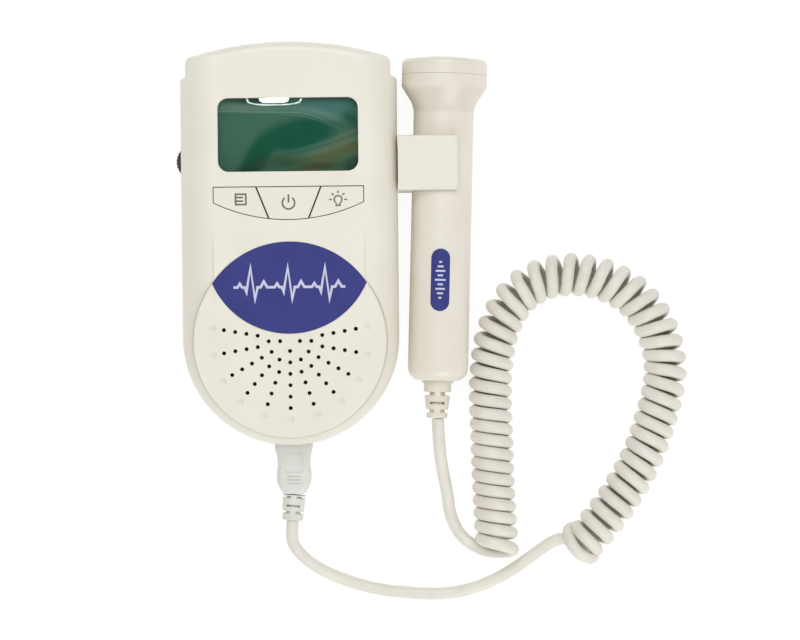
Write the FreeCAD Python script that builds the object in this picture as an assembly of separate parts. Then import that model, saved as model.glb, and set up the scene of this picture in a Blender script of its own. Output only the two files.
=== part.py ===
import FreeCAD, Part
import math
import os

# A hand-held ultrasound heartbeat monitor lying on its back, with its probe in the side holder.
# Millimetres. +X is the user's right, +Y the top end of the case, +Z out of the display.
# The origin is the middle of the flat back face, so the case rests on z = 0.

V = FreeCAD.Vector
ALONG_X = V(1, 0, 0)
ALONG_Y = V(0, 1, 0)
ALONG_Z = V(0, 0, 1)

# ---- driving dimensions: case ----
BODY_LENGTH = 135.0
BODY_WIDTH = 72.8
BODY_DEPTH = 32.0
WALL = 2.0
FRONT_WALL = 2.5
PARTING = 15.0              # height of the seam between the two shells
FRONT_ROLL = 11.6           # radius of the front's long edges
REAR_ROLL = 6.0             # and of the back's
END_ROUND = 3.0             # rounding of the top end's edges
TOP_ARC = 110.0             # plan radius of the top end
CAP_WIDTH = 68.6            # the narrower top of the case
CAP_LENGTH = 11.7
CAP_CORNER = 2.5
STEP_ROUND = 1.2
LIP_HEIGHT = 1.2            # the rear shell's lip inside the front shell's edge
LIP_WIDTH = 0.9
LIP_GAP = 0.1

# ---- front features ----
PLATEAU_RADIUS = 32.4       # flat-topped disc round the speaker, out past where the edges roll away
PLATEAU_RIM = 0.6           # rounding of its rim
PLATEAU_STEP = 0.5          # the shoulders lie this far below the flat front
PLATEAU_DROP = 1.3          # its centre lies this far below the centre of the round end
STRIP_WIDTH = 50.6          # raised strip that joins the disc to the flat front
FADE_TOP = 7.2              # the strip's edges fade out between these two heights
FADE_LOW = -8.0

WINDOW_WIDTH = 46.8
WINDOW_HEIGHT = 24.6
WINDOW_CORNER = 3.6
WINDOW_Y = 36.4
WINDOW_RECESS = 0.3
WINDOW_FLANGE = 0.9
FIT_GAP = 0.12              # between a moulded piece and the opening it sits in

KEYS_WIDTH = 50.4
KEYS_TOP = 19.2
KEYS_SIDE = 5.5             # straight height of the outer sides
KEYS_SAG = 5.8              # the curved lower edge hangs this far below the sides
KEY_SPLIT_TOP = 10.9        # half distance between the two dividers, at the top
KEY_SPLIT_LOW = 6.4         # and at the bottom
KEY_GAP = 0.27
KEY_PROUD = 0.15
KEY_FLANGE = 0.7
KEY_TRAVEL = 0.5

LABEL_WIDTH = 51.4
LABEL_RISE = 13.7           # height of the label above the line of its tips
LABEL_FALL = 16.9           # and below it
LABEL_Y = -13.0
LABEL_THICK = 0.25
LABEL_POCKET = 0.3

HOLE_RADIUS = 0.68
HOLE_START = 3.3            # radius of the innermost ring of sound holes
HOLE_PITCH = 3.8            # distance from ring to ring
HOLE_RINGS = 6
DIMPLE_RADIUS = 1.4
DIMPLE_DEPTH = 0.36

# ---- inside ----
BOARD_LOW = 19.6
BOARD_THICK = 1.6
BOARD_HALF = 31.0
BOARD_TOP = 54.0
BOARD_BOTTOM = -6.0
BOARD_POST = 2.3
BOARD_SCREW = 1.0
SCREW_X = 27.0
SCREW_TOP_Y = 57.6
SCREW_LOW_X = 20.0
SCREW_LOW_BACK = 15.9       # the low screws lie this far below the centre of the round end
SCREW_RADIUS = 1.45
SCREW_HEAD = 2.7
SCREW_POST = 3.2
SCREW_GAP = 0.1
COUNTERBORE = 4.0

CELL_RADIUS = 7.25
CELL_LENGTH = 50.5
CELL_GAP = 0.3
CONTACT = 0.4
SPRING_LENGTH = 3.6
SPRING_WIRE = 0.4
BAY_LOW_END = 2.5
BAY_WALL = 1.4
BAY_ROOF = 1.2
COVER_THICK = 1.8
COVER_RECESS = 0.3
COVER_TONGUE = 1.8
COVER_LIP = 1.0
RUN_GAP = 0.15              # a sliding piece runs with this gap

SPEAKER_RADIUS = 20.2
SPEAKER_DEPTH = 13.2
SPEAKER_RING = 1.2
MAGNET_RADIUS = 10.5

WHEEL_RADIUS = 6.0
WHEEL_THICK = 3.0
WHEEL_PROUD = 1.8
WHEEL_Y = 28.3
WHEEL_LOW = 13.4
WHEEL_NOTCHES = 32
POT_SHAFT = 1.5
SHAFT_GAP = 0.05

JACK_BORE = 1.8
JACK_NOSE = 2.9
JACK_Y = -0.5
JACK_LENGTH = 13.2
JACK_BODY = 6.1
JACK_DEPTH = 12.0

# ---- probe and its holder ----
PROBE_RADIUS = 10.15
PROBE_HEAD = 14.4
PROBE_LENGTH = 109.4
PROBE_HEIGHT = 16.0         # the probe's axis above the table
PROBE_TILT = 1.89           # degrees, its top leans away from the case
PROBE_WALL = 1.6
PROBE_CORNER = 4.5
PROBE_GRIP = 73.3           # from the probe's lower end to the middle of the holder
HEAD_LENGTH = 9.8
FLARE_LENGTH = 9.2
FACE_LENGTH = 6.4
FACE_SEAM = 0.07
FACE_RIM = 1.6              # rounding of the sounding end's rim
FACE_DOME = 1.1             # and the rise of its dome above that
BACKING = 0.9               # thickness of the puck behind the crystals
HEAD_CLEAR = 0.8            # from the probe's head to the case
HOLDER_Y = 26.8
HOLDER_LENGTH = 18.4
HOLDER_REACH = 5.0          # the jaws pass the probe's middle by this much
HOLDER_WALL = 2.4
HOLDER_GAP = 0.45
HOLDER_STANDOFF = 0.12
HOLDER_ROUND = 0.8
PILL_LENGTH = 20.9
PILL_WIDTH = 6.3
PILL_THICK = 0.16
PILL_T = 34.0               # from the probe's lower end to the pill's middle

# ---- lead ----
CORD = 4.1                  # cord diameter
COIL = 14.8                 # outer diameter of the curly part
FLOOR_GAP = 0.05
JOIN = 0.1                  # gap from one piece of the lead to the next
PLUG_X = 0.3
PLUG_HEIGHT = 11.5
PLUG_LENGTH = 16.4
NOSE_WIDTH = 10.2
NOSE_DEPTH = 6.2
NOSE_LENGTH = 11.2
RELIEF_LENGTH = 12.5
PLUG_RELIEF_LENGTH = 8.6
PLUG_LEAN = 5.0             # degrees, the relief leans to the left where the cord pulls it
PLUG_SEAT = 0.4             # room for that between the plug and its relief
SLOT = 1.2

# ---- places that follow from them ----
TOP = BODY_LENGTH / 2
HALF = BODY_WIDTH / 2
END_Y = HALF - TOP                      # centre of the round lower end
TOP_CENTRE = TOP - TOP_ARC
CAP_HALF = CAP_WIDTH / 2
STEP_Y = TOP - CAP_LENGTH
SPEAKER_Y = END_Y - PLATEAU_DROP
SCREW_LOW_Y = END_Y - SCREW_LOW_BACK
CEILING = BODY_DEPTH - FRONT_WALL
BOARD_HIGH = BOARD_LOW + BOARD_THICK
FAR = 3 * BODY_LENGTH

CELL_X = CELL_RADIUS + CELL_GAP / 2
BAY_HALF = 2 * CELL_RADIUS + CELL_GAP + 0.25
BAY_LENGTH = CELL_LENGTH + SPRING_LENGTH + 2 * CONTACT + 4 * JOIN
BAY_HIGH_END = BAY_LOW_END + BAY_LENGTH
COVER_HIGH = COVER_RECESS + COVER_THICK
CELL_Z = COVER_HIGH + CELL_GAP + CELL_RADIUS
BAY_TOP = CELL_Z + CELL_RADIUS + CELL_GAP
COVER_HALF = BAY_HALF - RUN_GAP
COVER_LOW_END = BAY_LOW_END - 1.0

WHEEL_X = WHEEL_RADIUS - HALF - WHEEL_PROUD
WHEEL_HIGH = WHEEL_LOW + WHEEL_THICK
JACK_Z = BOARD_LOW - JACK_BODY / 2
CHANNEL = PROBE_RADIUS + HOLDER_GAP
HOLDER_BACK = HALF + HOLDER_STANDOFF
HOLDER_X = HALF + PROBE_HEAD + HEAD_CLEAR
LEAN = math.radians(PROBE_TILT)
PROBE_BOTTOM = V(HOLDER_X, HOLDER_Y, PROBE_HEIGHT) - V(math.sin(LEAN), math.cos(LEAN), 0) * PROBE_GRIP
CORD_Z = CORD / 2 + FLOOR_GAP
COIL_Z = COIL / 2 + FLOOR_GAP
PLUG_Y = -TOP - 0.3
PLUG_END = PLUG_Y - PLUG_LENGTH
PLUG_TURN = math.radians(PLUG_LEAN)
PLUG_WAY = V(-math.sin(PLUG_TURN), -math.cos(PLUG_TURN), 0)
TAIL_START = V(PLUG_X, PLUG_END, PLUG_HEIGHT) + PLUG_WAY * (PLUG_SEAT + PLUG_RELIEF_LENGTH + JOIN)

# The lead's route, chosen point by point. The arcs between the runs pass inside these points.
PROBE_TAIL = [
    V(49.1, -59.2, 16.0), V(49.3, -67.3, 15.8), V(50.4, -76.2, 12.6), V(52.2, -84.6, 6.2),
    V(53.0, -92.4, 2.6), V(56.4, -99.6, CORD_Z), V(61.7, -105.0, CORD_Z), V(67.2, -107.3, CORD_Z),
    V(72.4, -107.8, CORD_Z),
]
COIL_ROUTE = [
    V(68.2, -102.4, COIL_Z), V(67.9, -85.0, COIL_Z), V(67.5, -66.0, COIL_Z), V(66.9, -45.0, COIL_Z),
    V(69.8, -27.9, COIL_Z), V(77.7, -15.7, COIL_Z), V(89.7, -10.6, COIL_Z), V(103.8, -11.3, COIL_Z),
    V(116.3, -17.7, COIL_Z), V(124.5, -29.0, COIL_Z), V(127.6, -43.6, COIL_Z), V(124.0, -58.5, COIL_Z),
    V(118.4, -74.6, COIL_Z), V(109.2, -89.2, COIL_Z), V(102.4, -97.6, COIL_Z), V(95.6, -102.6, COIL_Z),
]
PLUG_TAIL = [
    TAIL_START, TAIL_START + PLUG_WAY * 5.6, V(0.4, -104.6, 10.6), V(4.3, -110.5, 8.1), V(11.2, -114.0, 4.6),
    V(19.6, -115.8, 2.5), V(29.2, -118.0, CORD_Z), V(40.2, -119.2, CORD_Z), V(52.8, -119.7, CORD_Z),
    V(64.9, -116.6, CORD_Z), V(75.0, -111.2, CORD_Z), V(83.6, -104.8, CORD_Z), V(88.4, -101.7, CORD_Z),
    V(92.9, -100.0, CORD_Z),
]


# ---- small helpers ----
def box(x0, x1, y0, y1, z0, z1):
    return Part.makeBox(x1 - x0, y1 - y0, z1 - z0, V(x0, y0, z0))


def disc(radius, z0, z1, x=0.0, y=0.0):
    return Part.makeCylinder(radius, z1 - z0, V(x, y, z0))


def line(a, b):
    return Part.LineSegment(a, b).toShape()


def arc(a, middle, b):
    return Part.Arc(a, middle, b).toShape()


def polygon_face(points):
    return Part.Face(Part.makePolygon(points + points[:1]))


def fuse(shapes):
    return shapes[0].multiFuse(shapes[1:]).removeSplitter()


def quarter(a, corner, b):
    """A quarter circle from a to b, inside the right angle at corner."""
    middle = (a + b - corner) + (corner * 2 - a - b) * math.sqrt(0.5)
    return arc(a, middle, b)


def rounded_rectangle(width, height, radius, x, y, z):
    """A flat face in a plane of constant z."""
    w = width / 2 - radius
    h = height / 2 - radius
    edges = []
    for corner in range(4):
        turn = math.radians(90 * corner)
        sx = (1, -1, -1, 1)[corner]
        sy = (1, 1, -1, -1)[corner]
        centre = V(x + sx * w, y + sy * h, z)
        ends = [centre + radius * V(math.cos(turn + k * math.pi / 4), math.sin(turn + k * math.pi / 4), 0)
                for k in range(3)]
        edges.append(arc(*ends))
    joined = []
    for k, edge in enumerate(edges):
        joined.append(edge)
        following = edges[(k + 1) % 4]
        joined.append(line(edge.Vertexes[-1].Point, following.Vertexes[0].Point))
    return Part.Face(Part.Wire(joined))


def spun(profile, x=0.0, y=0.0):
    """A solid of revolution about a vertical axis, from (radius, z) points."""
    face = polygon_face([V(x + r, y, z) for r, z in profile])
    return face.revolve(V(x, y, 0), ALONG_Z, 360)


def save(name, shape):
    solids = shape.Solids
    result = solids[0] if len(solids) == 1 else Part.makeCompound(solids)
    result.exportStep("parts/" + name + ".step")


# ---- the case's outer and inner forms ----
def section(y, half, roll, face_z, cut_z, whole=True):
    """Cross-section of one half of the case: flat face, rolled edge and upright side."""
    flat = half - roll
    side_z = face_z - roll if face_z > cut_z else face_z + roll
    right = [
        line(V(half, y, cut_z), V(half, y, side_z)),
        quarter(V(half, y, side_z), V(half, y, face_z), V(flat, y, face_z)),
    ]
    if whole:
        left = [edge.mirror(V(0, 0, 0), ALONG_X) for edge in right]
        ends = [line(V(-flat, y, face_z), V(flat, y, face_z)), line(V(-half, y, cut_z), V(half, y, cut_z))]
    else:
        left = [line(V(0, y, face_z), V(0, y, cut_z))]
        ends = [line(V(0, y, face_z), V(flat, y, face_z)), line(V(0, y, cut_z), V(half, y, cut_z))]
    return Part.Face(Part.Wire(Part.__sortEdges__(right + left + ends)))


def round_end(half, roll, face_z, cut_z):
    """The lower end: the same cross-section turned through half a circle."""
    return section(END_Y, half, roll, face_z, cut_z, whole=False).revolve(V(0, END_Y, 0), ALONG_Z, -180)


def straight_and_round(half, roll, face_z, cut_z):
    straight = section(END_Y, half, roll, face_z, cut_z).extrude(V(0, BODY_LENGTH + 10, 0))
    return fuse([straight, round_end(half, roll, face_z, cut_z)])


def plan_outline(inset, slack=0.0):
    """The case seen from the front, moved in by inset. Slack keeps its sides clear of the form's own."""
    half = HALF - inset + slack
    cap = CAP_HALF - inset
    corner = max(CAP_CORNER - inset, 0.5)
    step_in = half - cap
    convex = min(STEP_ROUND, 0.6 * step_in)
    concave = step_in - convex
    step_y = STEP_Y - inset
    top_r = TOP_ARC - inset
    corner_y = TOP_CENTRE + math.sqrt((top_r - corner) ** 2 - (cap - corner) ** 2)
    away = V(cap - corner, corner_y - TOP_CENTRE, 0).normalize()
    meet = V(0, TOP_CENTRE, 0) + away * top_r
    centre = V(cap - corner, corner_y, 0)
    bisector = (away + ALONG_X).normalize()
    s = math.sqrt(0.5)
    right = [
        line(V(half, END_Y, 0), V(half, step_y - convex, 0)),
        arc(V(half, step_y - convex, 0),
            V(half - convex + s * convex, step_y - convex + s * convex, 0),
            V(half - convex, step_y, 0)),
        arc(V(cap + concave, step_y, 0),
            V(cap + concave - s * concave, step_y + concave - s * concave, 0),
            V(cap, step_y + concave, 0)),
        line(V(cap, step_y + concave, 0), V(cap, corner_y, 0)),
        arc(V(cap, corner_y, 0), centre + bisector * corner, meet),
    ]
    left = [edge.mirror(V(0, 0, 0), ALONG_X) for edge in right]
    top = arc(meet, V(0, TOP_CENTRE + top_r, 0), V(-meet.x, meet.y, 0))
    bottom = arc(V(half, END_Y, 0), V(0, END_Y - half, 0), V(-half, END_Y, 0))
    return Part.Face(Part.Wire(Part.__sortEdges__(right + left + [top, bottom])))


def plan_prism(inset, z0, z1, slack=0.0):
    face = plan_outline(inset, slack)
    face.translate(V(0, 0, z0))
    return face.extrude(V(0, 0, z1 - z0))


def end_rounding():
    """A flat drum whose rim is the curved top end with its rounded edges."""
    r = TOP_ARC
    e = END_ROUND
    s = math.sqrt(0.5)
    top = BODY_DEPTH
    y = TOP_CENTRE
    edges = [
        line(V(0, y, 0), V(r - e, y, 0)),
        arc(V(r - e, y, 0), V(r - e + s * e, y, e - s * e), V(r, y, e)),
        line(V(r, y, e), V(r, y, top - e)),
        arc(V(r, y, top - e), V(r - e + s * e, y, top - e + s * e), V(r - e, y, top)),
        line(V(r - e, y, top), V(0, y, top)),
        line(V(0, y, top), V(0, y, 0)),
    ]
    return Part.Face(Part.Wire(edges)).revolve(V(0, y, 0), ALONG_Z, 360)


def front_level(y0, y1, lift0, lift1):
    """A stretch of the front form whose height runs from lift0 to lift1."""
    low = PARTING - 5
    face = section(y0, HALF, FRONT_ROLL, BODY_DEPTH, low)
    face.translate(V(0, 0, lift0))
    return face.extrude(V(0, y1 - y0, lift1 - lift0))


def front_form():
    """Outside of the front shell: flat top, a ramp down to the shoulders, and the raised speaker plateau."""
    low = PARTING - 5
    step = -PLATEAU_STEP
    end = round_end(HALF, FRONT_ROLL, BODY_DEPTH, low)
    end.translate(V(0, 0, step))
    shoulders = fuse([
        front_level(FADE_TOP, FADE_TOP + BODY_LENGTH, 0, 0),
        front_level(FADE_LOW, FADE_TOP, step, 0),
        front_level(END_Y, FADE_LOW, step, step),
        end,
    ])
    strip = box(-STRIP_WIDTH / 2, STRIP_WIDTH / 2, SPEAKER_Y, FADE_TOP, PARTING, BODY_DEPTH + 1)
    strip = strip.common(front_level(SPEAKER_Y - 1, FADE_TOP, 0, 0))
    plateau = disc(PLATEAU_RADIUS, PARTING, BODY_DEPTH, 0, SPEAKER_Y)
    top_rim = [edge for edge in plateau.Edges if edge.Closed and edge.Vertexes[0].Z > BODY_DEPTH - 0.01]
    form = fuse([shoulders, strip, plateau.makeFillet(PLATEAU_RIM, top_rim)])
    form = form.common(plan_prism(0, PARTING, BODY_DEPTH + 1, slack=0.05))
    return form.common(end_rounding())


def rear_form():
    form = straight_and_round(HALF, REAR_ROLL, 0, PARTING + 5)
    form = form.common(plan_prism(0, -1, PARTING, slack=0.05))
    return form.common(end_rounding())


def front_cavity():
    half = HALF - WALL
    form = straight_and_round(half, FRONT_ROLL - WALL, CEILING, PARTING - 3)
    return form.common(plan_prism(WALL, PARTING - 2, BODY_DEPTH, slack=0.05))


def rear_cavity():
    half = HALF - WALL
    form = straight_and_round(half, REAR_ROLL - WALL, WALL, PARTING + 3)
    return form.common(plan_prism(WALL, 0, PARTING + 2, slack=0.05))


# ---- openings that both shells share ----
def wheel_slot():
    reach = WHEEL_RADIUS + 0.3
    return disc(reach, WHEEL_LOW - 0.3, WHEEL_HIGH + 0.3, WHEEL_X, WHEEL_Y)


def jack_hole():
    return Part.makeCylinder(JACK_NOSE + FIT_GAP, 6, V(-HALF - 2, JACK_Y, JACK_Z), ALONG_X)


def plug_hole():
    w = NOSE_WIDTH / 2 + RUN_GAP
    h = NOSE_DEPTH / 2 + RUN_GAP
    return box(PLUG_X - w, PLUG_X + w, -TOP - 2, -TOP + 6, PLUG_HEIGHT - h, PLUG_HEIGHT + h)


def holder_window():
    w = HOLDER_LENGTH / 2 - 3 + FIT_GAP
    return box(HALF - WALL - 1, HALF + 1, HOLDER_Y - w, HOLDER_Y + w,
               PROBE_HEIGHT - 4 - FIT_GAP, PROBE_HEIGHT + 4 + FIT_GAP)


def side_openings():
    return [wheel_slot(), jack_hole(), plug_hole(), holder_window()]


def case_screw_places():
    rows = [(SCREW_X, SCREW_TOP_Y), (SCREW_LOW_X, SCREW_LOW_Y)]
    return [(side * x, y) for x, y in rows for side in (1, -1)]


def board_screw_places():
    x = BOARD_HALF - BOARD_POST + 0.7
    return [(sx * x, y) for y in (BOARD_TOP - 4.0, 10.0) for sx in (1, -1)]


# ---- front shell ----
def keys_outline(grow, z):
    """The curved outline shared by the three keys, grown by a margin."""
    half = KEYS_WIDTH / 2 + grow
    top = KEYS_TOP + grow
    side = KEYS_TOP - KEYS_SIDE - 0.6 * grow
    low = KEYS_TOP - KEYS_SIDE - KEYS_SAG - grow
    edges = [
        line(V(-half, side, z), V(-half, top, z)),
        line(V(-half, top, z), V(half, top, z)),
        line(V(half, top, z), V(half, side, z)),
        arc(V(half, side, z), V(0, low, z), V(-half, side, z)),
    ]
    return Part.Face(Part.Wire(edges))


def label_outline(grow, z):
    half = LABEL_WIDTH / 2 + grow
    edges = [
        arc(V(-half, LABEL_Y, z), V(0, LABEL_Y + LABEL_RISE + grow, z), V(half, LABEL_Y, z)),
        arc(V(half, LABEL_Y, z), V(0, LABEL_Y - LABEL_FALL - grow, z), V(-half, LABEL_Y, z)),
    ]
    return Part.Face(Part.Wire(edges))


def grille_angles(ring):
    """Angles from straight down at which a ring has its holes: a fan that opens with the radius."""
    steps = [(1, 90), (3, 30)]
    count, pitch = steps[ring] if ring < 2 else (5, 20)
    return [pitch * k for k in range(-count, count + 1)]


def on_ring(radius, degrees):
    turn = math.radians(degrees)
    return (radius * math.sin(turn), SPEAKER_Y - radius * math.cos(turn))


def sound_holes():
    holes = []
    for ring in range(HOLE_RINGS):
        radius = HOLE_START + HOLE_PITCH * ring
        for degrees in grille_angles(ring):
            x, y = on_ring(radius, degrees)
            holes.append(disc(HOLE_RADIUS, CEILING - 1, BODY_DEPTH + 1, x, y))
    return holes


def dimples():
    """Shallow dents that end each row of holes, as caps of a ball."""
    ball = (DIMPLE_RADIUS ** 2 + DIMPLE_DEPTH ** 2) / (2 * DIMPLE_DEPTH)
    radius = HOLE_START + HOLE_PITCH * HOLE_RINGS
    height = BODY_DEPTH + ball - DIMPLE_DEPTH
    places = [on_ring(radius, degrees) for degrees in grille_angles(HOLE_RINGS)]
    return [Part.makeSphere(ball, V(x, y, height)) for x, y in places]


def front_posts():
    """Posts that carry the board and take the case screws, and the ring that holds the speaker."""
    posts = [disc(BOARD_POST, BOARD_HIGH + JOIN, CEILING + 1, x, y) for x, y in board_screw_places()]
    posts += [disc(SCREW_POST, PARTING + 1, CEILING + 1, x, y) for x, y in case_screw_places()]
    inner = SPEAKER_RADIUS + RUN_GAP
    ring = disc(inner + SPEAKER_RING, CEILING - 3, CEILING + 0.5, 0, SPEAKER_Y)
    posts.append(ring.cut(disc(inner, CEILING - 4, CEILING + 1, 0, SPEAKER_Y)))
    return posts


def front_pilots():
    small = BOARD_SCREW + SCREW_GAP
    large = SCREW_RADIUS + SCREW_GAP
    pilots = [disc(small, BOARD_HIGH - 1, BOARD_HIGH + 4, x, y) for x, y in board_screw_places()]
    return pilots + [disc(large, PARTING, PARTING + 9, x, y) for x, y in case_screw_places()]


def front_shell():
    form = front_form()
    shell = form.cut(front_cavity())
    posts = [post.common(form) for post in front_posts()]
    shell = fuse([shell] + posts)
    rebate = plan_prism(WALL - LIP_WIDTH - LIP_GAP, PARTING - 1, PARTING + LIP_HEIGHT + LIP_GAP)
    rebate = rebate.cut(plan_prism(WALL + 0.5, PARTING - 2, PARTING + 3))
    window = rounded_rectangle(WINDOW_WIDTH, WINDOW_HEIGHT, WINDOW_CORNER, 0, WINDOW_Y, CEILING - 1)
    keys = keys_outline(0, CEILING - 2).extrude(V(0, 0, 8))
    label = label_outline(FIT_GAP, BODY_DEPTH - LABEL_POCKET).extrude(V(0, 0, 2))
    cutters = [rebate, window.extrude(V(0, 0, 8)), keys, label]
    cutters += side_openings() + front_pilots() + sound_holes() + dimples()
    return shell.cut(cutters)


# ---- rear shell and battery bay ----
def bay_block():
    outer = BAY_HALF + COVER_TONGUE + BAY_WALL
    return box(-outer, outer, BAY_LOW_END - BAY_WALL, BAY_HIGH_END + BAY_WALL, 0, BAY_TOP + BAY_ROOF)


def bay_hollow():
    """Room for the cells, with a low rib between them under the roof."""
    room = box(-BAY_HALF, BAY_HALF, BAY_LOW_END, BAY_HIGH_END, -1, BAY_TOP)
    rib = box(-0.6, 0.6, BAY_LOW_END - 1, BAY_HIGH_END + 1, CELL_Z + 5, BAY_TOP + 1)
    side = BAY_HALF + COVER_TONGUE + RUN_GAP
    lightening = []
    near = BAY_HALF + BAY_WALL
    for x0, x1 in ((near, side + 2), (-side - 2, -near)):
        lightening.append(box(x0, x1, BAY_LOW_END - 2, BAY_HIGH_END + 2, COVER_HIGH + 1.5, BAY_TOP + 2))
    return [room.cut(rib)] + lightening


def cover_track():
    """The cover's opening through the back, and the two grooves that its tongues run in."""
    w = COVER_HALF + RUN_GAP
    y = COVER_LOW_END - RUN_GAP
    opening = box(-w, w, y, TOP + 2, -1, COVER_HIGH + RUN_GAP)
    t = COVER_HALF + COVER_TONGUE + RUN_GAP
    groove = box(-t, t, y, TOP + 2, COVER_LIP, COVER_HIGH + RUN_GAP)
    return fuse([opening, groove])


def rear_posts():
    posts = [disc(SCREW_POST + 0.6, 0.5, PARTING + 1 - 0.3, x, y) for x, y in case_screw_places()]
    pedestal = box(PLUG_X - 6, PLUG_X + 6, -TOP + 5, -TOP + 12, 1, PLUG_HEIGHT - NOSE_DEPTH / 2 - 2.4)
    return posts + [pedestal]


def screw_holes():
    holes = []
    for x, y in case_screw_places():
        holes.append(disc(SCREW_HEAD + 0.3, -1, COUNTERBORE, x, y))
        holes.append(disc(SCREW_RADIUS + SCREW_GAP + 0.1, 0, PARTING + 2, x, y))
    return holes


def rear_shell():
    form = rear_form()
    shell = form.cut(rear_cavity())
    lip = plan_prism(WALL - LIP_WIDTH, PARTING - 1, PARTING + LIP_HEIGHT)
    lip = lip.cut(plan_prism(WALL, PARTING - 2, PARTING + 3))
    reach = plan_prism(WALL - 0.3, -1, BODY_DEPTH)
    block = bay_block().common(reach)
    block = block.common(fuse([form, disc(FAR, PARTING - 1, BODY_DEPTH)]))
    posts = [post.common(fuse([form, disc(FAR, PARTING - 1, BODY_DEPTH)])) for post in rear_posts()]
    shell = fuse([shell, lip, block] + posts)
    return shell.cut(bay_hollow() + [cover_track()] + side_openings() + screw_holes())


def battery_cover():
    w = COVER_HALF
    y = COVER_LOW_END
    plate = box(-w, w, y, TOP + 1, COVER_RECESS, COVER_HIGH)
    t = COVER_HALF + COVER_TONGUE
    tongues = box(-t, t, y, BAY_HIGH_END + 4, COVER_LIP + RUN_GAP, COVER_HIGH)
    cover = fuse([plate, tongues]).common(rear_form())
    ridges = [box(-9, 9, y + 7 + 2.2 * k, y + 8.1 + 2.2 * k, 0, COVER_RECESS + 0.5) for k in range(6)]
    return cover.cut(ridges)


def case_screws():
    screws = []
    for x, y in case_screw_places():
        head = disc(SCREW_HEAD, COUNTERBORE - 2.1, COUNTERBORE - 0.1, x, y)
        shank = disc(SCREW_RADIUS, COUNTERBORE - 0.5, PARTING + 8, x, y)
        cross = box(x - 1.5, x + 1.5, y - 0.3, y + 0.3, 0, COUNTERBORE - 1.1)
        across = box(x - 0.3, x + 0.3, y - 1.5, y + 1.5, 0, COUNTERBORE - 1.1)
        screws.append(fuse([head, shank]).cut([cross, across]))
    return Part.makeCompound(screws)


# ---- batteries ----
def battery_cell(side):
    """An AA cell. The left one points up the case, the right one down, as cells in series do."""
    low = BAY_LOW_END + 2 * JOIN + CONTACT + (SPRING_LENGTH if side < 0 else 0)
    nub = 1.3
    can = Part.makeCylinder(CELL_RADIUS, CELL_LENGTH - nub, V(0, 0, 0), ALONG_Y)
    can = can.makeFillet(0.7, [edge for edge in can.Edges if edge.Closed])
    tip = Part.makeCylinder(2.7, nub + 0.5, V(0, CELL_LENGTH - nub - 0.5, 0), ALONG_Y)
    cell = fuse([can, tip])
    if side > 0:
        cell.rotate(V(0, CELL_LENGTH / 2, 0), ALONG_Z, 180)
    cell.translate(V(side * CELL_X, low, CELL_Z))
    return cell


def battery_contacts():
    """A bridge across both cells at the low end, and one terminal for each at the high end."""
    low = BAY_LOW_END + JOIN
    high = BAY_HIGH_END - JOIN - CONTACT
    z0 = CELL_Z - 4.5
    z1 = CELL_Z + 4.5
    bridge = box(-CELL_X - 5, CELL_X + 5, low, low + CONTACT, z0, z1)
    ends = [box(x - 5, x + 5, high, high + CONTACT, z0, z1) for x in (-CELL_X, CELL_X)]
    return Part.makeCompound([bridge] + ends)


def battery_spring(side):
    """A conical wire spring whose narrow end meets the cell."""
    turns = 2
    wide = 4.2
    height = SPRING_LENGTH - 2 * SPRING_WIRE - 0.2
    path = Part.makeHelix(height / turns, height, wide, -25)
    start = path.Edges[0].firstVertex().Point
    ring = Part.makeCircle(SPRING_WIRE, start, ALONG_Y)
    wire = Part.Wire(path.Edges)
    spring = wire.makePipeShell([Part.Wire(ring)], True, True)
    spring.rotate(V(0, 0, 0), ALONG_X, -90 if side < 0 else 90)
    margin = JOIN + CONTACT + SPRING_WIRE + 0.05
    y = BAY_LOW_END + margin if side < 0 else BAY_HIGH_END - margin
    spring.translate(V(side * CELL_X, y, CELL_Z))
    return spring


def battery_springs():
    return Part.makeCompound([battery_spring(-1), battery_spring(1)])


# ---- display ----
def display_window():
    pane = rounded_rectangle(WINDOW_WIDTH - 2 * FIT_GAP, WINDOW_HEIGHT - 2 * FIT_GAP, WINDOW_CORNER - FIT_GAP,
                             0, WINDOW_Y, CEILING - 0.6)
    pane = pane.extrude(V(0, 0, BODY_DEPTH - WINDOW_RECESS - CEILING + 0.6))
    w = WINDOW_WIDTH / 2 + WINDOW_FLANGE
    h = WINDOW_HEIGHT / 2 + WINDOW_FLANGE
    flange = box(-w, w, WINDOW_Y - h, WINDOW_Y + h, CEILING - 1.1, CEILING - JOIN)
    return fuse([pane, flange])


def display_frame():
    """The carrier that stands on the board and holds the backlight and the display glass."""
    outer = box(-26.5, 26.5, WINDOW_Y - 16, WINDOW_Y + 16, BOARD_HIGH + 0.05, CEILING - 1.5)
    upper = box(-25.2, 25.2, WINDOW_Y - 14.7, WINDOW_Y + 14.7, CEILING - 3.6, CEILING)
    lower = box(-23, 23, WINDOW_Y - 12.5, WINDOW_Y + 12.5, BOARD_HIGH - 1, CEILING)
    return outer.cut([upper, lower])


def display_module():
    return box(-25, 25, WINDOW_Y - 14.5, WINDOW_Y + 14.5, CEILING - 3.5, CEILING - 1.3)


def display_backlight():
    return box(-22.8, 22.8, WINDOW_Y - 12.3, WINDOW_Y + 12.3, BOARD_HIGH + 0.1, CEILING - 3.7)


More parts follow.
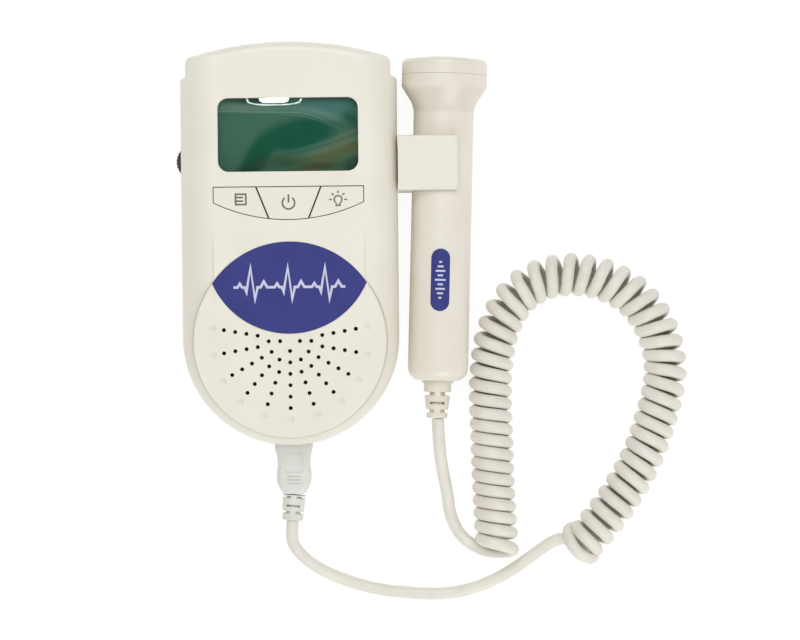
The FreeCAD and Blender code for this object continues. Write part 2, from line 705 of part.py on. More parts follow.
# ---- keys ----
def key_region(which, gap, z0, z1):
    """The part of the key outline between two dividers: -1 left, 0 middle, 1 right."""
    far = 2 * KEYS_WIDTH
    top = KEYS_TOP + 5
    low = KEYS_TOP - KEYS_SIDE - KEYS_SAG - 5
    slope = (KEY_SPLIT_TOP - KEY_SPLIT_LOW) / (KEYS_SIDE + KEYS_SAG)
    top_x = KEY_SPLIT_TOP + 5 * slope
    low_x = KEY_SPLIT_LOW - 5 * slope
    if which == 0:
        corners = [(gap - top_x, top), (top_x - gap, top), (low_x - gap, low), (gap - low_x, low)]
    else:
        corners = [(which * (top_x + gap), top), (which * far, top), (which * far, low), (which * (low_x + gap), low)]
    return polygon_face([V(x, y, z0) for x, y in corners]).extrude(V(0, 0, z1 - z0))


def key_places():
    return {-1: (-16.0, 14.4), 0: (0.0, 13.4), 1: (16.0, 14.4)}


def key(which):
    top = BODY_DEPTH + KEY_PROUD
    split = 0.25
    cap = keys_outline(-KEY_GAP, CEILING - 1.2).extrude(V(0, 0, top - CEILING + 1.2))
    cap = cap.common(key_region(which, split, 0, 2 * BODY_DEPTH))
    rim = [edge for edge in cap.Edges if min(v.Z for v in edge.Vertexes) > top - 0.01]
    cap = cap.makeChamfer(0.2, rim)
    flange = keys_outline(KEY_FLANGE, CEILING - 1.5).extrude(V(0, 0, 0.9))
    flange = flange.common(key_region(which, split, 0, 2 * BODY_DEPTH))
    x, y = key_places()[which]
    stem = disc(2.0, CEILING - 3.2, CEILING - 1.4, x, y)
    return fuse([cap, flange, stem])


def key_switches():
    """Tact switches on the board. Each plunger waits just below its key's stem."""
    switches = []
    plunger_top = CEILING - 3.2 - KEY_TRAVEL - 0.05
    for x, y in key_places().values():
        body = box(x - 3, x + 3, y - 3, y + 3, BOARD_HIGH + 0.05, plunger_top - 1.0)
        switches.append(fuse([body, disc(1.6, plunger_top - 1.5, plunger_top, x, y)]))
    return Part.makeCompound(switches)


# ---- board and speaker ----
def main_board():
    board = box(-BOARD_HALF, BOARD_HALF, BOARD_BOTTOM, BOARD_TOP, BOARD_LOW, BOARD_HIGH)
    corners = [edge for edge in board.Edges if abs(edge.Vertexes[0].Z - edge.Vertexes[1].Z) > 1]
    board = board.makeFillet(2.0, corners)
    bore = BOARD_SCREW + SCREW_GAP
    return board.cut([disc(bore, BOARD_LOW - 1, BOARD_HIGH + 1, x, y) for x, y in board_screw_places()])


def board_parts():
    """Chips on the front of the board, and capacitors standing on its lower edge."""
    z = BOARD_HIGH + 0.03
    parts = [
        box(-7, 7, -3.2, 5.2, z, z + 1.6),
        box(10, 17, -2.5, 3.5, z, z + 1.4),
        box(-20, -13, -1.5, 4.5, z, z + 1.4),
        disc(2.5, z, z + 5.2, 24.5, 0.5),
        disc(2.5, z, z + 5.2, 24.5, -3.0 + 9.5),
    ]
    return Part.makeCompound(parts)


def board_screws():
    screws = []
    for x, y in board_screw_places():
        head = disc(1.9, BOARD_LOW - 1.4, BOARD_LOW - 0.05, x, y)
        screws.append(fuse([head, disc(BOARD_SCREW, BOARD_LOW - 0.5, BOARD_HIGH + 3.5, x, y)]))
    return Part.makeCompound(screws)


def speaker_basket():
    """A pressed basket: flat rim, conical wall with four windows, and the seat for the magnet."""
    top = CEILING - 0.7
    seat = top - 6.9
    profile = [(SPEAKER_RADIUS, top - 1.0), (SPEAKER_RADIUS, top), (17.4, top), (11.2, seat + 1),
               (4.2, seat + 1), (4.2, seat), (12.2, seat), (17.8, top - 1.0)]
    basket = spun(profile, 0, SPEAKER_Y)
    windows = [box(-4, 4, SPEAKER_Y - 30, SPEAKER_Y + 30, seat + 1.6, top - 1.8)]
    windows.append(box(-30, 30, SPEAKER_Y - 4, SPEAKER_Y + 4, seat + 1.6, top - 1.8))
    return basket.cut(windows)


def speaker_magnet():
    seat = CEILING - 0.7 - 6.9
    low = CEILING - SPEAKER_DEPTH
    profile = [(0, low), (MAGNET_RADIUS - 1, low), (MAGNET_RADIUS, low + 1), (MAGNET_RADIUS, seat - 1.2),
               (MAGNET_RADIUS - 0.8, seat - 1.2), (MAGNET_RADIUS - 0.8, seat - 0.05), (3.6, seat - 0.05),
               (3.6, seat + 1.2), (0, seat + 1.2)]
    return spun(profile, 0, SPEAKER_Y)


def speaker_cone():
    top = CEILING - 0.7
    profile = [(16.3, top - 0.5), (16.3, top - 0.2), (15.4, top + 0.1), (14.2, top - 0.3),
               (6.2, top - 4.2), (4.6, top - 3.2), (0, top - 2.6), (0, top - 3.0),
               (4.4, top - 3.6), (6.1, top - 4.7), (14.3, top - 0.75), (15.4, top - 0.3)]
    return spun(profile, 0, SPEAKER_Y)


def speaker_gasket():
    ring = disc(SPEAKER_RADIUS - 0.2, CEILING - 0.65, CEILING - 0.05, 0, SPEAKER_Y)
    return ring.cut(disc(17.4, CEILING - 1, CEILING, 0, SPEAKER_Y))


# ---- volume control and earphone jack ----
def volume_wheel():
    wheel = disc(WHEEL_RADIUS, WHEEL_LOW, WHEEL_HIGH, WHEEL_X, WHEEL_Y)
    wheel = wheel.makeChamfer(0.4, [edge for edge in wheel.Edges if edge.Closed])
    notches = []
    for k in range(WHEEL_NOTCHES):
        turn = 2 * math.pi * k / WHEEL_NOTCHES
        spot = V(WHEEL_X + WHEEL_RADIUS * math.cos(turn), WHEEL_Y + WHEEL_RADIUS * math.sin(turn), WHEEL_LOW - 1)
        tooth = Part.makeBox(0.36, 0.36, WHEEL_THICK + 2, V(-0.18, -0.18, 0))
        tooth.rotate(V(0, 0, 0), ALONG_Z, math.degrees(turn) + 45)
        tooth.translate(spot)
        notches.append(tooth)
    bore = disc(POT_SHAFT + SHAFT_GAP, WHEEL_LOW - 1, WHEEL_HIGH + 1, WHEEL_X, WHEEL_Y)
    return wheel.cut(notches + [bore])


def volume_pot():
    body = box(WHEEL_X - 1.7, WHEEL_X + 5.5, WHEEL_Y - 4.5, WHEEL_Y + 4.5, WHEEL_HIGH + 0.6, BOARD_LOW - 0.05)
    shaft = disc(POT_SHAFT, WHEEL_LOW, WHEEL_HIGH + 1, WHEEL_X, WHEEL_Y)
    return fuse([body, shaft])


def earphone_jack():
    """A board-mounted jack whose round nose fills its hole in the left side."""
    inside = -HALF + WALL + 0.15
    body = box(inside, inside + JACK_LENGTH, JACK_Y - 3.5, JACK_Y + 3.5, BOARD_LOW - JACK_BODY, BOARD_LOW - 0.05)
    nose = Part.makeCylinder(JACK_NOSE, WALL, V(-HALF + 0.2, JACK_Y, JACK_Z), ALONG_X)
    bore = Part.makeCylinder(JACK_BORE, JACK_DEPTH, V(-HALF + 0.2, JACK_Y, JACK_Z), ALONG_X)
    return fuse([body, nose]).cut(bore)


# ---- probe holder ----
def probe_holder():
    """A C-shaped clip, open away from the case, with a foot that the two shells trap between them."""
    outer_x = HOLDER_X + HOLDER_REACH
    high = PROBE_HEIGHT + CHANNEL + HOLDER_WALL
    low = PROBE_HEIGHT - CHANNEL - HOLDER_WALL
    y0 = HOLDER_Y - HOLDER_LENGTH / 2
    y1 = HOLDER_Y + HOLDER_LENGTH / 2
    clip = box(HOLDER_BACK, outer_x, y0, y1, low, high)
    corners = [edge for edge in clip.Edges if abs(edge.Vertexes[0].Z - edge.Vertexes[1].Z) > 1]
    clip = clip.makeFillet(1.3, [edge for edge in corners if edge.Vertexes[0].X > HOLDER_X])
    rims = [edge for edge in clip.Edges if abs(edge.Vertexes[0].Z - edge.Vertexes[1].Z) < 0.01]
    clip = clip.makeFillet(HOLDER_ROUND, [edge for edge in rims if max(v.X for v in edge.Vertexes) > HOLDER_X])
    channel = Part.makeCylinder(CHANNEL, 2 * HOLDER_LENGTH, V(HOLDER_X, y0 - 5, PROBE_HEIGHT), ALONG_Y)
    throat = math.sqrt(CHANNEL ** 2 - (HOLDER_REACH - 1) ** 2)
    mouth = polygon_face([
        V(HOLDER_X + HOLDER_REACH - 1, y0 - 5, PROBE_HEIGHT - throat),
        V(outer_x + 2, y0 - 5, PROBE_HEIGHT - throat - 1.6),
        V(outer_x + 2, y0 - 5, PROBE_HEIGHT + throat + 1.6),
        V(HOLDER_X + HOLDER_REACH - 1, y0 - 5, PROBE_HEIGHT + throat),
    ]).extrude(V(0, 2 * HOLDER_LENGTH, 0))
    w = HOLDER_LENGTH / 2 - 3
    foot = box(HALF - WALL - 1.5, HOLDER_BACK + 1, HOLDER_Y - w, HOLDER_Y + w, PROBE_HEIGHT - 4, PROBE_HEIGHT + 4)
    inside = HALF - WALL - 0.2
    flange = box(inside - 1.4, inside, HOLDER_Y - w - 1.5, HOLDER_Y + w + 1.5, PROBE_HEIGHT - 5.2, PROBE_HEIGHT + 5.2)
    return fuse([clip.cut([channel, mouth]), foot, flange])


# ---- probe, built upright about its own axis and then laid in the holder ----
def lay_probe(shape):
    """From the probe's own frame (axis +Z, lower end at 0) to its place in the holder."""
    shape.rotate(V(0, 0, 0), ALONG_X, -90)
    shape.rotate(V(0, 0, 0), ALONG_Z, -PROBE_TILT)
    shape.translate(PROBE_BOTTOM)
    return shape


def probe_outline(offset, start, end):
    """Edges of the probe's side from its lower end to the head, moved in by offset."""
    r = PROBE_RADIUS - offset
    head = PROBE_HEAD - offset
    corner = PROBE_CORNER - offset
    head_start = PROBE_LENGTH - HEAD_LENGTH
    flare_start = head_start - FLARE_LENGTH
    s = math.sqrt(0.5)
    low = V(r - corner, 0, start)
    edges = [
        line(V(0, 0, start), low),
        arc(low, V(r - corner + s * corner, 0, start + corner - s * corner), V(r, 0, start + corner)),
        line(V(r, 0, start + corner), V(r, 0, flare_start)),
    ]
    ease = Part.BezierCurve()
    reach = 0.25 * FLARE_LENGTH
    ease.setPoles([V(r, 0, flare_start), V(r, 0, flare_start + 1.7 * reach), V(head - 0.5, 0, head_start - reach),
                   V(head, 0, head_start)])
    edges.append(ease.toShape())
    edges.append(line(V(head, 0, head_start), V(head, 0, end)))
    edges.append(line(V(head, 0, end), V(0, 0, end)))
    edges.append(line(V(0, 0, end), V(0, 0, start)))
    return edges


def turned(edges):
    return Part.Face(Part.Wire(edges)).revolve(V(0, 0, 0), ALONG_Z, 360)


def probe_shell():
    seam = PROBE_LENGTH - FACE_LENGTH
    outside = turned(probe_outline(0, 0, seam))
    inside = turned(probe_outline(PROBE_WALL, PROBE_WALL, seam + 1))
    slots = Part.makeCylinder(CORD / 2, 6, V(0, 0, -1))
    return lay_probe(outside.cut([inside, slots]))


def probe_face():
    """The sounding end: a low dome with a rounded rim and a spigot that plugs into the head."""
    seam = PROBE_LENGTH - FACE_LENGTH + FACE_SEAM
    rim = PROBE_LENGTH - FACE_DOME - FACE_RIM
    s = math.sqrt(0.5)
    spigot = PROBE_HEAD - PROBE_WALL - 0.1
    reach = PROBE_HEAD - FACE_RIM
    dome = (reach ** 2 + FACE_DOME ** 2) / (2 * FACE_DOME)
    half_way = V(reach / 2, 0, PROBE_LENGTH - dome + math.sqrt(dome ** 2 - reach ** 2 / 4))
    edges = [
        line(V(0, 0, seam - 1.5), V(spigot, 0, seam - 1.5)),
        line(V(spigot, 0, seam - 1.5), V(spigot, 0, seam)),
        line(V(spigot, 0, seam), V(PROBE_HEAD, 0, seam)),
        line(V(PROBE_HEAD, 0, seam), V(PROBE_HEAD, 0, rim)),
        arc(V(PROBE_HEAD, 0, rim), V(reach + s * FACE_RIM, 0, rim + s * FACE_RIM), V(reach, 0, rim + FACE_RIM)),
        arc(V(reach, 0, rim + FACE_RIM), half_way, V(0, 0, PROBE_LENGTH)),
        line(V(0, 0, PROBE_LENGTH), V(0, 0, seam - 1.5)),
    ]
    return lay_probe(turned(edges))


def probe_crystals():
    """Two half-moon crystals side by side, one to send and one to receive."""
    z = PROBE_LENGTH - FACE_LENGTH + FACE_SEAM - 1.5 - 1.1
    full = disc(10.5, z, z + 1.0)
    halves = [full.common(box(0.4, 12, -12, 12, z - 1, z + 2)), full.common(box(-12, -0.4, -12, 12, z - 1, z + 2))]
    return lay_probe(Part.makeCompound(halves))


def probe_backing():
    z = PROBE_LENGTH - FACE_LENGTH + FACE_SEAM - 1.5 - 1.2
    puck = disc(PROBE_HEAD - PROBE_WALL - 0.2, z - BACKING, z)
    return lay_probe(puck)


def probe_board():
    z = PROBE_LENGTH - FACE_LENGTH + FACE_SEAM - 1.5 - 1.2 - BACKING - 0.05
    board = box(-6.0, 6.0, -0.8, 0.8, z - 62, z)
    chip = box(-3.5, 3.5, 0.8, 2.2, z - 40, z - 30)
    coil = Part.makeCylinder(1.8, 4, V(0, 0, z - 20), ALONG_Y)
    return lay_probe(fuse([board, chip, coil]))


def probe_label():
    """A pill-shaped plate that lies on the barrel's curve."""
    inner = PROBE_RADIUS + 0.02
    tube = disc(inner + PILL_THICK, PILL_T - PILL_LENGTH, PILL_T + PILL_LENGTH)
    tube = tube.cut(disc(inner, PILL_T - 2 * PILL_LENGTH, PILL_T + 2 * PILL_LENGTH))
    pill = rounded_rectangle(PILL_WIDTH, PILL_LENGTH, PILL_WIDTH / 2 - 0.01, 0, PILL_T, 0).extrude(V(0, 0, 30))
    pill.rotate(V(0, 0, 0), ALONG_X, 90)
    return lay_probe(tube.common(pill))


def slotted_relief(outline, side_slots, front_slots, core):
    """A tapered sleeve about +Z. Slots leave two bridges, by turns at front and back or at the two sides."""
    sleeve = turned(outline)
    cuts = []
    for z, height, bridge in side_slots:
        ring = disc(20, z, z + height).cut(disc(core, z - 1, z + height + 1))
        cuts.append(ring.cut(box(-bridge, bridge, -20, 20, z - 1, z + height + 1)))
    for z, height, width in front_slots:
        ring = disc(20, z, z + height).cut(disc(core, z - 1, z + height + 1))
        cuts.append(ring.common(box(-width, width, -20, 20, z - 1, z + height + 1)))
    return sleeve.cut(cuts)


def probe_relief():
    """The strain relief below the probe: collar, block, tapered block and end ring."""
    points = [(0, -0.05), (5.2, -0.05), (5.2, -0.7), (4.6, -0.75), (4.5, -4.2), (4.3, -4.5), (3.75, -9.6), (3.6, -9.9),
              (3.5, -12.2), (3.2, -RELIEF_LENGTH), (0, -RELIEF_LENGTH)]
    outline = [line(V(a[0], 0, a[1]), V(b[0], 0, b[1])) for a, b in zip(points, points[1:] + points[:1])]
    relief = slotted_relief(outline, [(-4.9, SLOT, 1.05), (-10.8, SLOT, 1.05)], [(-7.9, 0.9, 2.4)], 2.6)
    return lay_probe(relief)


# ---- plug and its socket ----
def plug_body():
    """The moulded plug: hollowed to fit the case's round end, waisted, and drawn in towards the cord."""
    stations = [(-1.2, 12.2, 9.4, 1.5), (2.2, 12.0, 9.6, 1.8), (6.3, 10.9, 8.8, 1.8), (11.4, 11.6, 9.2, 2.0),
                (14.6, 9.6, 8.4, 2.4), (PLUG_LENGTH, 7.4, 7.4, 2.6)]
    wires = []
    for along, width, depth, corner in stations:
        wires.append(rounded_rectangle(width, depth, corner, 0, 0, along).OuterWire)
    body = Part.makeLoft(wires, True, False)
    panel = rounded_rectangle(6.1, 7.0, 0.9, 0, 0, 0).extrude(V(0, 0, 3))
    panel.rotate(V(0, 0, 0), ALONG_X, -90)
    panel.translate(V(0, 4.12, 5.8))
    ribs = [box(-2.1, 2.1, 4.2, 6, z, z + 0.5) for z in (10.2, 11.4, 12.6)]
    body = body.cut([panel] + ribs)
    body.rotate(V(0, 0, 0), ALONG_X, 90)
    body.translate(V(PLUG_X, PLUG_Y, PLUG_HEIGHT))
    w = NOSE_WIDTH / 2 + JOIN
    h = NOSE_DEPTH / 2 + JOIN
    around_nose = box(PLUG_X - w, PLUG_X + w, PLUG_Y, PLUG_Y + 5, PLUG_HEIGHT - h, PLUG_HEIGHT + h)
    return body.cut([disc(HALF + FIT_GAP, 0, BODY_DEPTH, 0, END_Y), around_nose])


def plug_nose():
    """The part of the plug inside the socket, with six grooves for its contacts."""
    w = NOSE_WIDTH / 2
    h = NOSE_DEPTH / 2
    y0 = PLUG_Y + JOIN
    nose = box(PLUG_X - w, PLUG_X + w, y0, y0 + NOSE_LENGTH, PLUG_HEIGHT - h, PLUG_HEIGHT + h)
    nose = nose.makeChamfer(0.6, [edge for edge in nose.Edges if min(v.Y for v in edge.Vertexes) > y0 + 1])
    grooves = []
    for x in contact_places():
        grooves.append(box(x - 0.35, x + 0.35, y0 + 3, y0 + NOSE_LENGTH + 1, PLUG_HEIGHT + h - 0.8, PLUG_HEIGHT + h + 1))
    return nose.cut(grooves)


def contact_places():
    return [PLUG_X + 1.4 * (k - 2.5) for k in range(6)]


def plug_contacts():
    y0 = PLUG_Y + JOIN
    z = PLUG_HEIGHT + NOSE_DEPTH / 2
    return Part.makeCompound([box(x - 0.25, x + 0.25, y0 + 3.1, y0 + NOSE_LENGTH - 1, z - 0.75, z - 0.2)
                              for x in contact_places()])


def probe_socket():
    w = NOSE_WIDTH / 2 + RUN_GAP
    h = NOSE_DEPTH / 2 + RUN_GAP
    y0 = -TOP + 3.2
    y1 = PLUG_Y + NOSE_LENGTH + 2.2
    shell = box(PLUG_X - w - 1.8, PLUG_X + w + 1.8, y0, y1, PLUG_HEIGHT - h - 2.0, PLUG_HEIGHT + h + 2.4)
    return shell.cut(box(PLUG_X - w, PLUG_X + w, y0 - 1, y1 - 1.4, PLUG_HEIGHT - h, PLUG_HEIGHT + h))


def socket_contacts():
    """Pins that come out of the socket's back."""
    y1 = PLUG_Y + NOSE_LENGTH + 2.2
    z = PLUG_HEIGHT + NOSE_DEPTH / 2
    return Part.makeCompound([box(x - 0.25, x + 0.25, y1 + 0.05, y1 + 2.0, z - 0.5, z) for x in contact_places()])


def plug_relief():
    points = [(0, 0), (3.9, 0), (3.85, -1.0), (3.6, -6.4), (3.5, -8.3), (3.2, -PLUG_RELIEF_LENGTH),
              (0, -PLUG_RELIEF_LENGTH)]
    outline = [line(V(a[0], 0, a[1]), V(b[0], 0, b[1])) for a, b in zip(points, points[1:] + points[:1])]
    relief = slotted_relief(outline, [(-1.1, 0.7, 1.0), (-6.4, 0.9, 1.0)], [(-4.1, 0.8, 2.2)], 2.5)
    relief.rotate(V(0, 0, 0), ALONG_X, -90)
    relief.rotate(V(0, 0, 0), ALONG_Z, -PLUG_LEAN)
    relief.translate(V(PLUG_X, PLUG_END, PLUG_HEIGHT) + PLUG_WAY * PLUG_SEAT)
    return relief


# ---- lead ----
def arc_radius(a, b, c):
    """Radius that suits the corner at b: as large as its two runs allow."""
    before = (b - a).normalize()
    after = (c - b).normalize()
    half_turn = before.getAngle(after) / 2
    return 0.45 * min((b - a).Length, (c - b).Length) / math.tan(half_turn)


def smooth_wire(points):
    """Straight runs joined by arcs that are tangent to both."""
    edges = []
    here = points[0]
    for a, b, c in zip(points, points[1:], points[2:]):
        before = (b - a).normalize()
        after = (c - b).normalize()
        reach = 0.45 * min((b - a).Length, (c - b).Length)
        start = b - before * reach
        end = b + after * reach
        half_turn = before.getAngle(after) / 2
        radius = arc_radius(a, b, c)
        inward = (after - before).normalize()
        middle = b + inward * (radius / math.cos(half_turn) - radius)
        edges.append(line(here, start))
        edges.append(arc(start, middle, end))
        here = end
    edges.append(line(here, points[-1]))
    return Part.Wire(edges)


def tube(name, points, diameter):
    wire = smooth_wire(points)
    direction = points[1] - points[0]
    ring = Part.Wire(Part.makeCircle(diameter / 2, points[0], direction))
    solid = wire.makePipeShell([ring], True, True)
    radii = [arc_radius(*corner) for corner in zip(points, points[1:], points[2:])]
    expected = math.pi * diameter ** 2 / 4 * wire.Length
    print(name, "length", round(wire.Length, 1), "volume ratio", round(solid.Volume / expected, 4),
          "radii", [round(r, 1) for r in radii])
    return solid


# ---- every piece, by its node name ----
def main():
    os.makedirs("parts", exist_ok=True)
    save("front_shell", front_shell())
    save("rear_shell", rear_shell())
    save("battery_cover", battery_cover())
    save("case_screws", case_screws())
    save("battery_cell_left", battery_cell(-1))
    save("battery_cell_right", battery_cell(1))
    save("battery_contacts", battery_contacts())
    save("battery_springs", battery_springs())
    save("display_window", display_window())
    save("display_frame", display_frame())
    save("display_module", display_module())
    save("display_backlight", display_backlight())
    save("key_mode", key(-1))
    save("key_power", key(0))
    save("key_light", key(1))
    save("key_switches", key_switches())
    save("main_board", main_board())
    save("board_parts", board_parts())
    save("board_screws", board_screws())
    save("front_label", label_outline(0, BODY_DEPTH - LABEL_POCKET + 0.02).extrude(V(0, 0, LABEL_THICK)))
    save("speaker_basket", speaker_basket())
    save("speaker_magnet", speaker_magnet())
    save("speaker_cone", speaker_cone())
    save("speaker_gasket", speaker_gasket())
    save("volume_wheel", volume_wheel())
    save("volume_pot", volume_pot())
    save("earphone_jack", earphone_jack())
    save("probe_holder", probe_holder())
    save("probe_shell", probe_shell())
    save("probe_face", probe_face())
    save("probe_crystals", probe_crystals())
    save("probe_backing", probe_backing())
    save("probe_board", probe_board())
    save("probe_label", probe_label())
    save("probe_relief", probe_relief())
    save("plug_body", plug_body())
    save("plug_nose", plug_nose())
    save("plug_contacts", plug_contacts())
    save("plug_relief", plug_relief())
    save("probe_socket", probe_socket())
    save("socket_contacts", socket_contacts())
    save("cord_probe_tail", tube("cord_probe_tail", PROBE_TAIL, CORD))
    save("cord_coil", tube("cord_coil", COIL_ROUTE, COIL))
    save("cord_plug_tail", tube("cord_plug_tail", PLUG_TAIL, CORD))


main()
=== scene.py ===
# %% [markdown]
# # A pocket heartbeat monitor
# The object is a hand-held ultrasound monitor: a cream moulded case with a display, three keys and
# a speaker, a microphone-shaped probe in a clip on its side, and a curly lead from one to the other.
# Its solids come in as a frame that is already right in size, so this script adds only what
# solids lack: the real lead, printed symbols, small parts, surface finish, light and a camera.
# Every length below is written in millimetres and turned into Blender's metres where it is used.

# %% Load the frame
import math
import bpy
import bmesh
from mathutils import Matrix, Vector
from mathutils.kdtree import KDTree


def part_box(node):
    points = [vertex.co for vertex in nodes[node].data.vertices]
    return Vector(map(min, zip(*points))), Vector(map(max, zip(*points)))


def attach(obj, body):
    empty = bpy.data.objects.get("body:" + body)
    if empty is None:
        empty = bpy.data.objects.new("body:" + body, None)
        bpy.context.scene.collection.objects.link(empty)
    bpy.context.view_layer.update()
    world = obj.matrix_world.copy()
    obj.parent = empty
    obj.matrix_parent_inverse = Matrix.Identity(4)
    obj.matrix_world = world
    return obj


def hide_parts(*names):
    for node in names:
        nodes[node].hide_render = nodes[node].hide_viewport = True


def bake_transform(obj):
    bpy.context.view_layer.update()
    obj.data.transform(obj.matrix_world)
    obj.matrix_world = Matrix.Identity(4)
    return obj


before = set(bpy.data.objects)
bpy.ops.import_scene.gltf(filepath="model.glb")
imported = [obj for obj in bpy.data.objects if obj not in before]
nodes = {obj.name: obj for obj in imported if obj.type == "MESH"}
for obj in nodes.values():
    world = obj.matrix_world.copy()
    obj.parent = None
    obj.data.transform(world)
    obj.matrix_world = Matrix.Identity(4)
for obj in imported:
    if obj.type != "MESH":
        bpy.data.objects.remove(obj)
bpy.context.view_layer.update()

scene = bpy.context.scene
MM = 0.001


def mm(x, y, z=0.0):
    """A point given in millimetres, in metres."""
    return Vector((x, y, z)) * MM


def put(name, data):
    """A new object in the scene, made of a mesh, a curve, a lamp or a camera."""
    thing = bpy.data.objects.new(name, data)
    scene.collection.objects.link(thing)
    return thing


# %% [markdown]
# ## The camera
# The view is from straight above, a metre or so away, as on a copy stand. A long lens keeps the case's
# sides from showing, and the camera is turned by half a degree because the case lay a little askew.

# %% Camera
STAND_HEIGHT = 1105.0
VIEW_CENTRE = (36.68, -25.77)
VIEW_WIDTH = 270.4
VIEW_LEVEL = 15.0  # the height at which the frame is VIEW_WIDTH wide
TURN = math.radians(-0.606)

camera_data = bpy.data.cameras.new("copy stand camera")
camera_data.sensor_width = 36.0
camera_data.lens = 36.0 * (STAND_HEIGHT - VIEW_LEVEL) / VIEW_WIDTH
camera_data.clip_start = 50.0 * MM
camera_data.clip_end = 20000.0 * MM
camera = put("copy stand camera", camera_data)
camera.location = mm(*VIEW_CENTRE, STAND_HEIGHT)
camera.rotation_euler = (0.0, 0.0, TURN)
scene.camera = camera
print("lens, mm:", round(camera_data.lens, 1))

# %% [markdown]
# ## The lead's route
# The lead lies on the table in three stretches: a straight tail from the probe, a curly part that arches over
# to the right, and a long tail back to the plug. A cord that just lies there follows no rule, so its route is
# a given list of points.

# %% Routes
PROBE_TAIL = [
    (49.1, -59.2, 16.0), (49.3, -67.3, 15.8), (50.4, -76.2, 12.6), (52.2, -84.6, 6.2),
    (53.0, -92.4, 2.6), (55.9, -98.8, 2.1), (60.0, -102.7, 2.1), (64.2, -104.6, 2.1),
]
COIL_HEIGHT = 7.45
COIL_ROUTE = [
    (68.9, -102.4), (67.9, -85.0), (67.5, -66.0), (66.9, -45.0), (69.8, -27.9), (77.7, -15.7),
    (89.7, -10.6), (103.8, -11.3), (116.3, -17.7), (124.5, -29.0), (127.6, -43.6), (124.0, -58.5),
    (118.4, -74.6), (109.2, -89.2), (103.0, -97.0), (98.5, -101.6),
]
# The last turn hangs out to the left of the others, and the tail leaves from under it
LAST_TURN = [
    (98.9, -100.7, 2.1), (96.2, -98.0, 2.4), (93.9, -96.9, 4.6), (92.9, -98.3, 8.4),
    (93.5, -101.3, 11.8), (95.3, -104.6, 12.8), (98.5, -107.0, 11.2), (101.7, -107.6, 7.6),
    (101.9, -106.6, 3.6), (98.4, -104.6, 2.1), (94.9, -102.4, 2.1),
]
PLUG_TAIL = [
    (91.6, -100.7, 2.1), (88.2, -101.8, 2.1), (83.6, -104.8, 2.1), (75.0, -111.2, 2.1),
    (64.9, -116.6, 2.1), (52.8, -119.7, 2.1), (40.2, -119.2, 2.1), (28.6, -117.9, 2.1),
    (18.8, -115.1, 2.6), (10.4, -111.5, 4.8), (3.9, -107.0, 8.4), (0.0, -102.3, 11.0),
    (-0.97, -98.75, 11.5), (-0.48, -93.17, 11.5),
]
print("points in the routes:", len(PROBE_TAIL), len(COIL_ROUTE), len(LAST_TURN), len(PLUG_TAIL))

# %% [markdown]
# ### Smooth lines
# The points pull one NURBS line into shape, which starts and stops exactly at the first and last of them
# because its ends are clamped. Blender's own curve does the smoothing, and its evaluated points are read
# off, so the script needs no spline formula here and can measure what it made.

# %% Smooth lines
def nurbs(name, points, order=3, resolution=8):
    """A curve object of one open NURBS spline through its end points."""
    data = bpy.data.curves.new(name, "CURVE")
    data.dimensions = "3D"
    data.resolution_u = resolution
    spline = data.splines.new("NURBS")
    spline.points.add(len(points) - 1)
    for point, place in zip(spline.points, points):
        point.co = (*place, 1.0)
    spline.order_u = order
    spline.use_endpoint_u = True
    return put(name, data)


def plain_mesh(thing):
    """The finished mesh of a curve or of an object with modifiers."""
    bpy.context.view_layer.update()
    evaluated = thing.evaluated_get(bpy.context.evaluated_depsgraph_get())
    return bpy.data.meshes.new_from_object(evaluated)


def line_of(points, order=3, resolution=8):
    """Points read from the smooth line that a route makes."""
    curve = nurbs("route", points, order, resolution)
    mesh = plain_mesh(curve)
    line = [vertex.co.copy() for vertex in mesh.vertices]
    bpy.data.objects.remove(curve)
    bpy.data.meshes.remove(mesh)
    return line


def length_of(line):
    return sum((b - a).length for a, b in zip(line, line[1:]))


coil_axis = line_of([mm(x, y, COIL_HEIGHT) for x, y in COIL_ROUTE])
print("coil axis, mm:", round(length_of(coil_axis) / MM, 1))

# %% [markdown]
# ## The curly part
# A curly cord is wound tight on a rod and then heated, so that it keeps its turns. They hang close together
# at the lower left and fan out over the arch. A short table says how far along the axis some of them lie,
# and a smooth curve through that table places the rest, so that the step from turn to turn never jumps.

# %% Places of the turns
TURN_PLACES = [  # number of a turn, counted at its top, and its distance along the axis in mm
    (0.5, -3.0), (1, 0.4), (2, 5.2), (3, 9.65), (8, 31.3), (12, 48.9), (16, 67.7), (20, 89.1), (24, 110.95),
    (29, 137.7), (34, 162.7), (39, 186.55), (43, 206.45), (46, 222.25), (46.5, 224.9),
]


def steepness(k):
    """Millimetres per turn at an entry of TURN_PLACES, judged from the entries on either side."""
    (t0, d0), (t1, d1) = TURN_PLACES[max(k - 1, 0)], TURN_PLACES[min(k + 1, len(TURN_PLACES) - 1)]
    return (d1 - d0) / (t1 - t0)


def place_of(turn):
    """Distance along the axis in mm for a turn or a part of one, on a smooth cubic."""
    k = max(i for i, (t, _) in enumerate(TURN_PLACES[:-1]) if t <= turn + 1e-6)
    (t0, d0), (t1, d1) = TURN_PLACES[k:k + 2]
    span = t1 - t0
    u = (turn - t0) / span
    return (d0 * (2 * u ** 3 - 3 * u ** 2 + 1) + d1 * (3 * u ** 2 - 2 * u ** 3)
            + steepness(k) * span * (u ** 3 - 2 * u ** 2 + u) + steepness(k + 1) * span * (u ** 3 - u ** 2))


first_turn, last_turn = TURN_PLACES[0][0], TURN_PLACES[-1][0]
coil_span = place_of(last_turn) - place_of(first_turn)
print("mean step between turns, mm:", round(coil_span / (last_turn - first_turn), 2))

# %% [markdown]
# ### The helix
# A point walks along the axis and goes round it. A Screw modifier makes a helix too, but on a straight
# axis and with all turns alike. These turns also lean over at either end, by a table of their own.

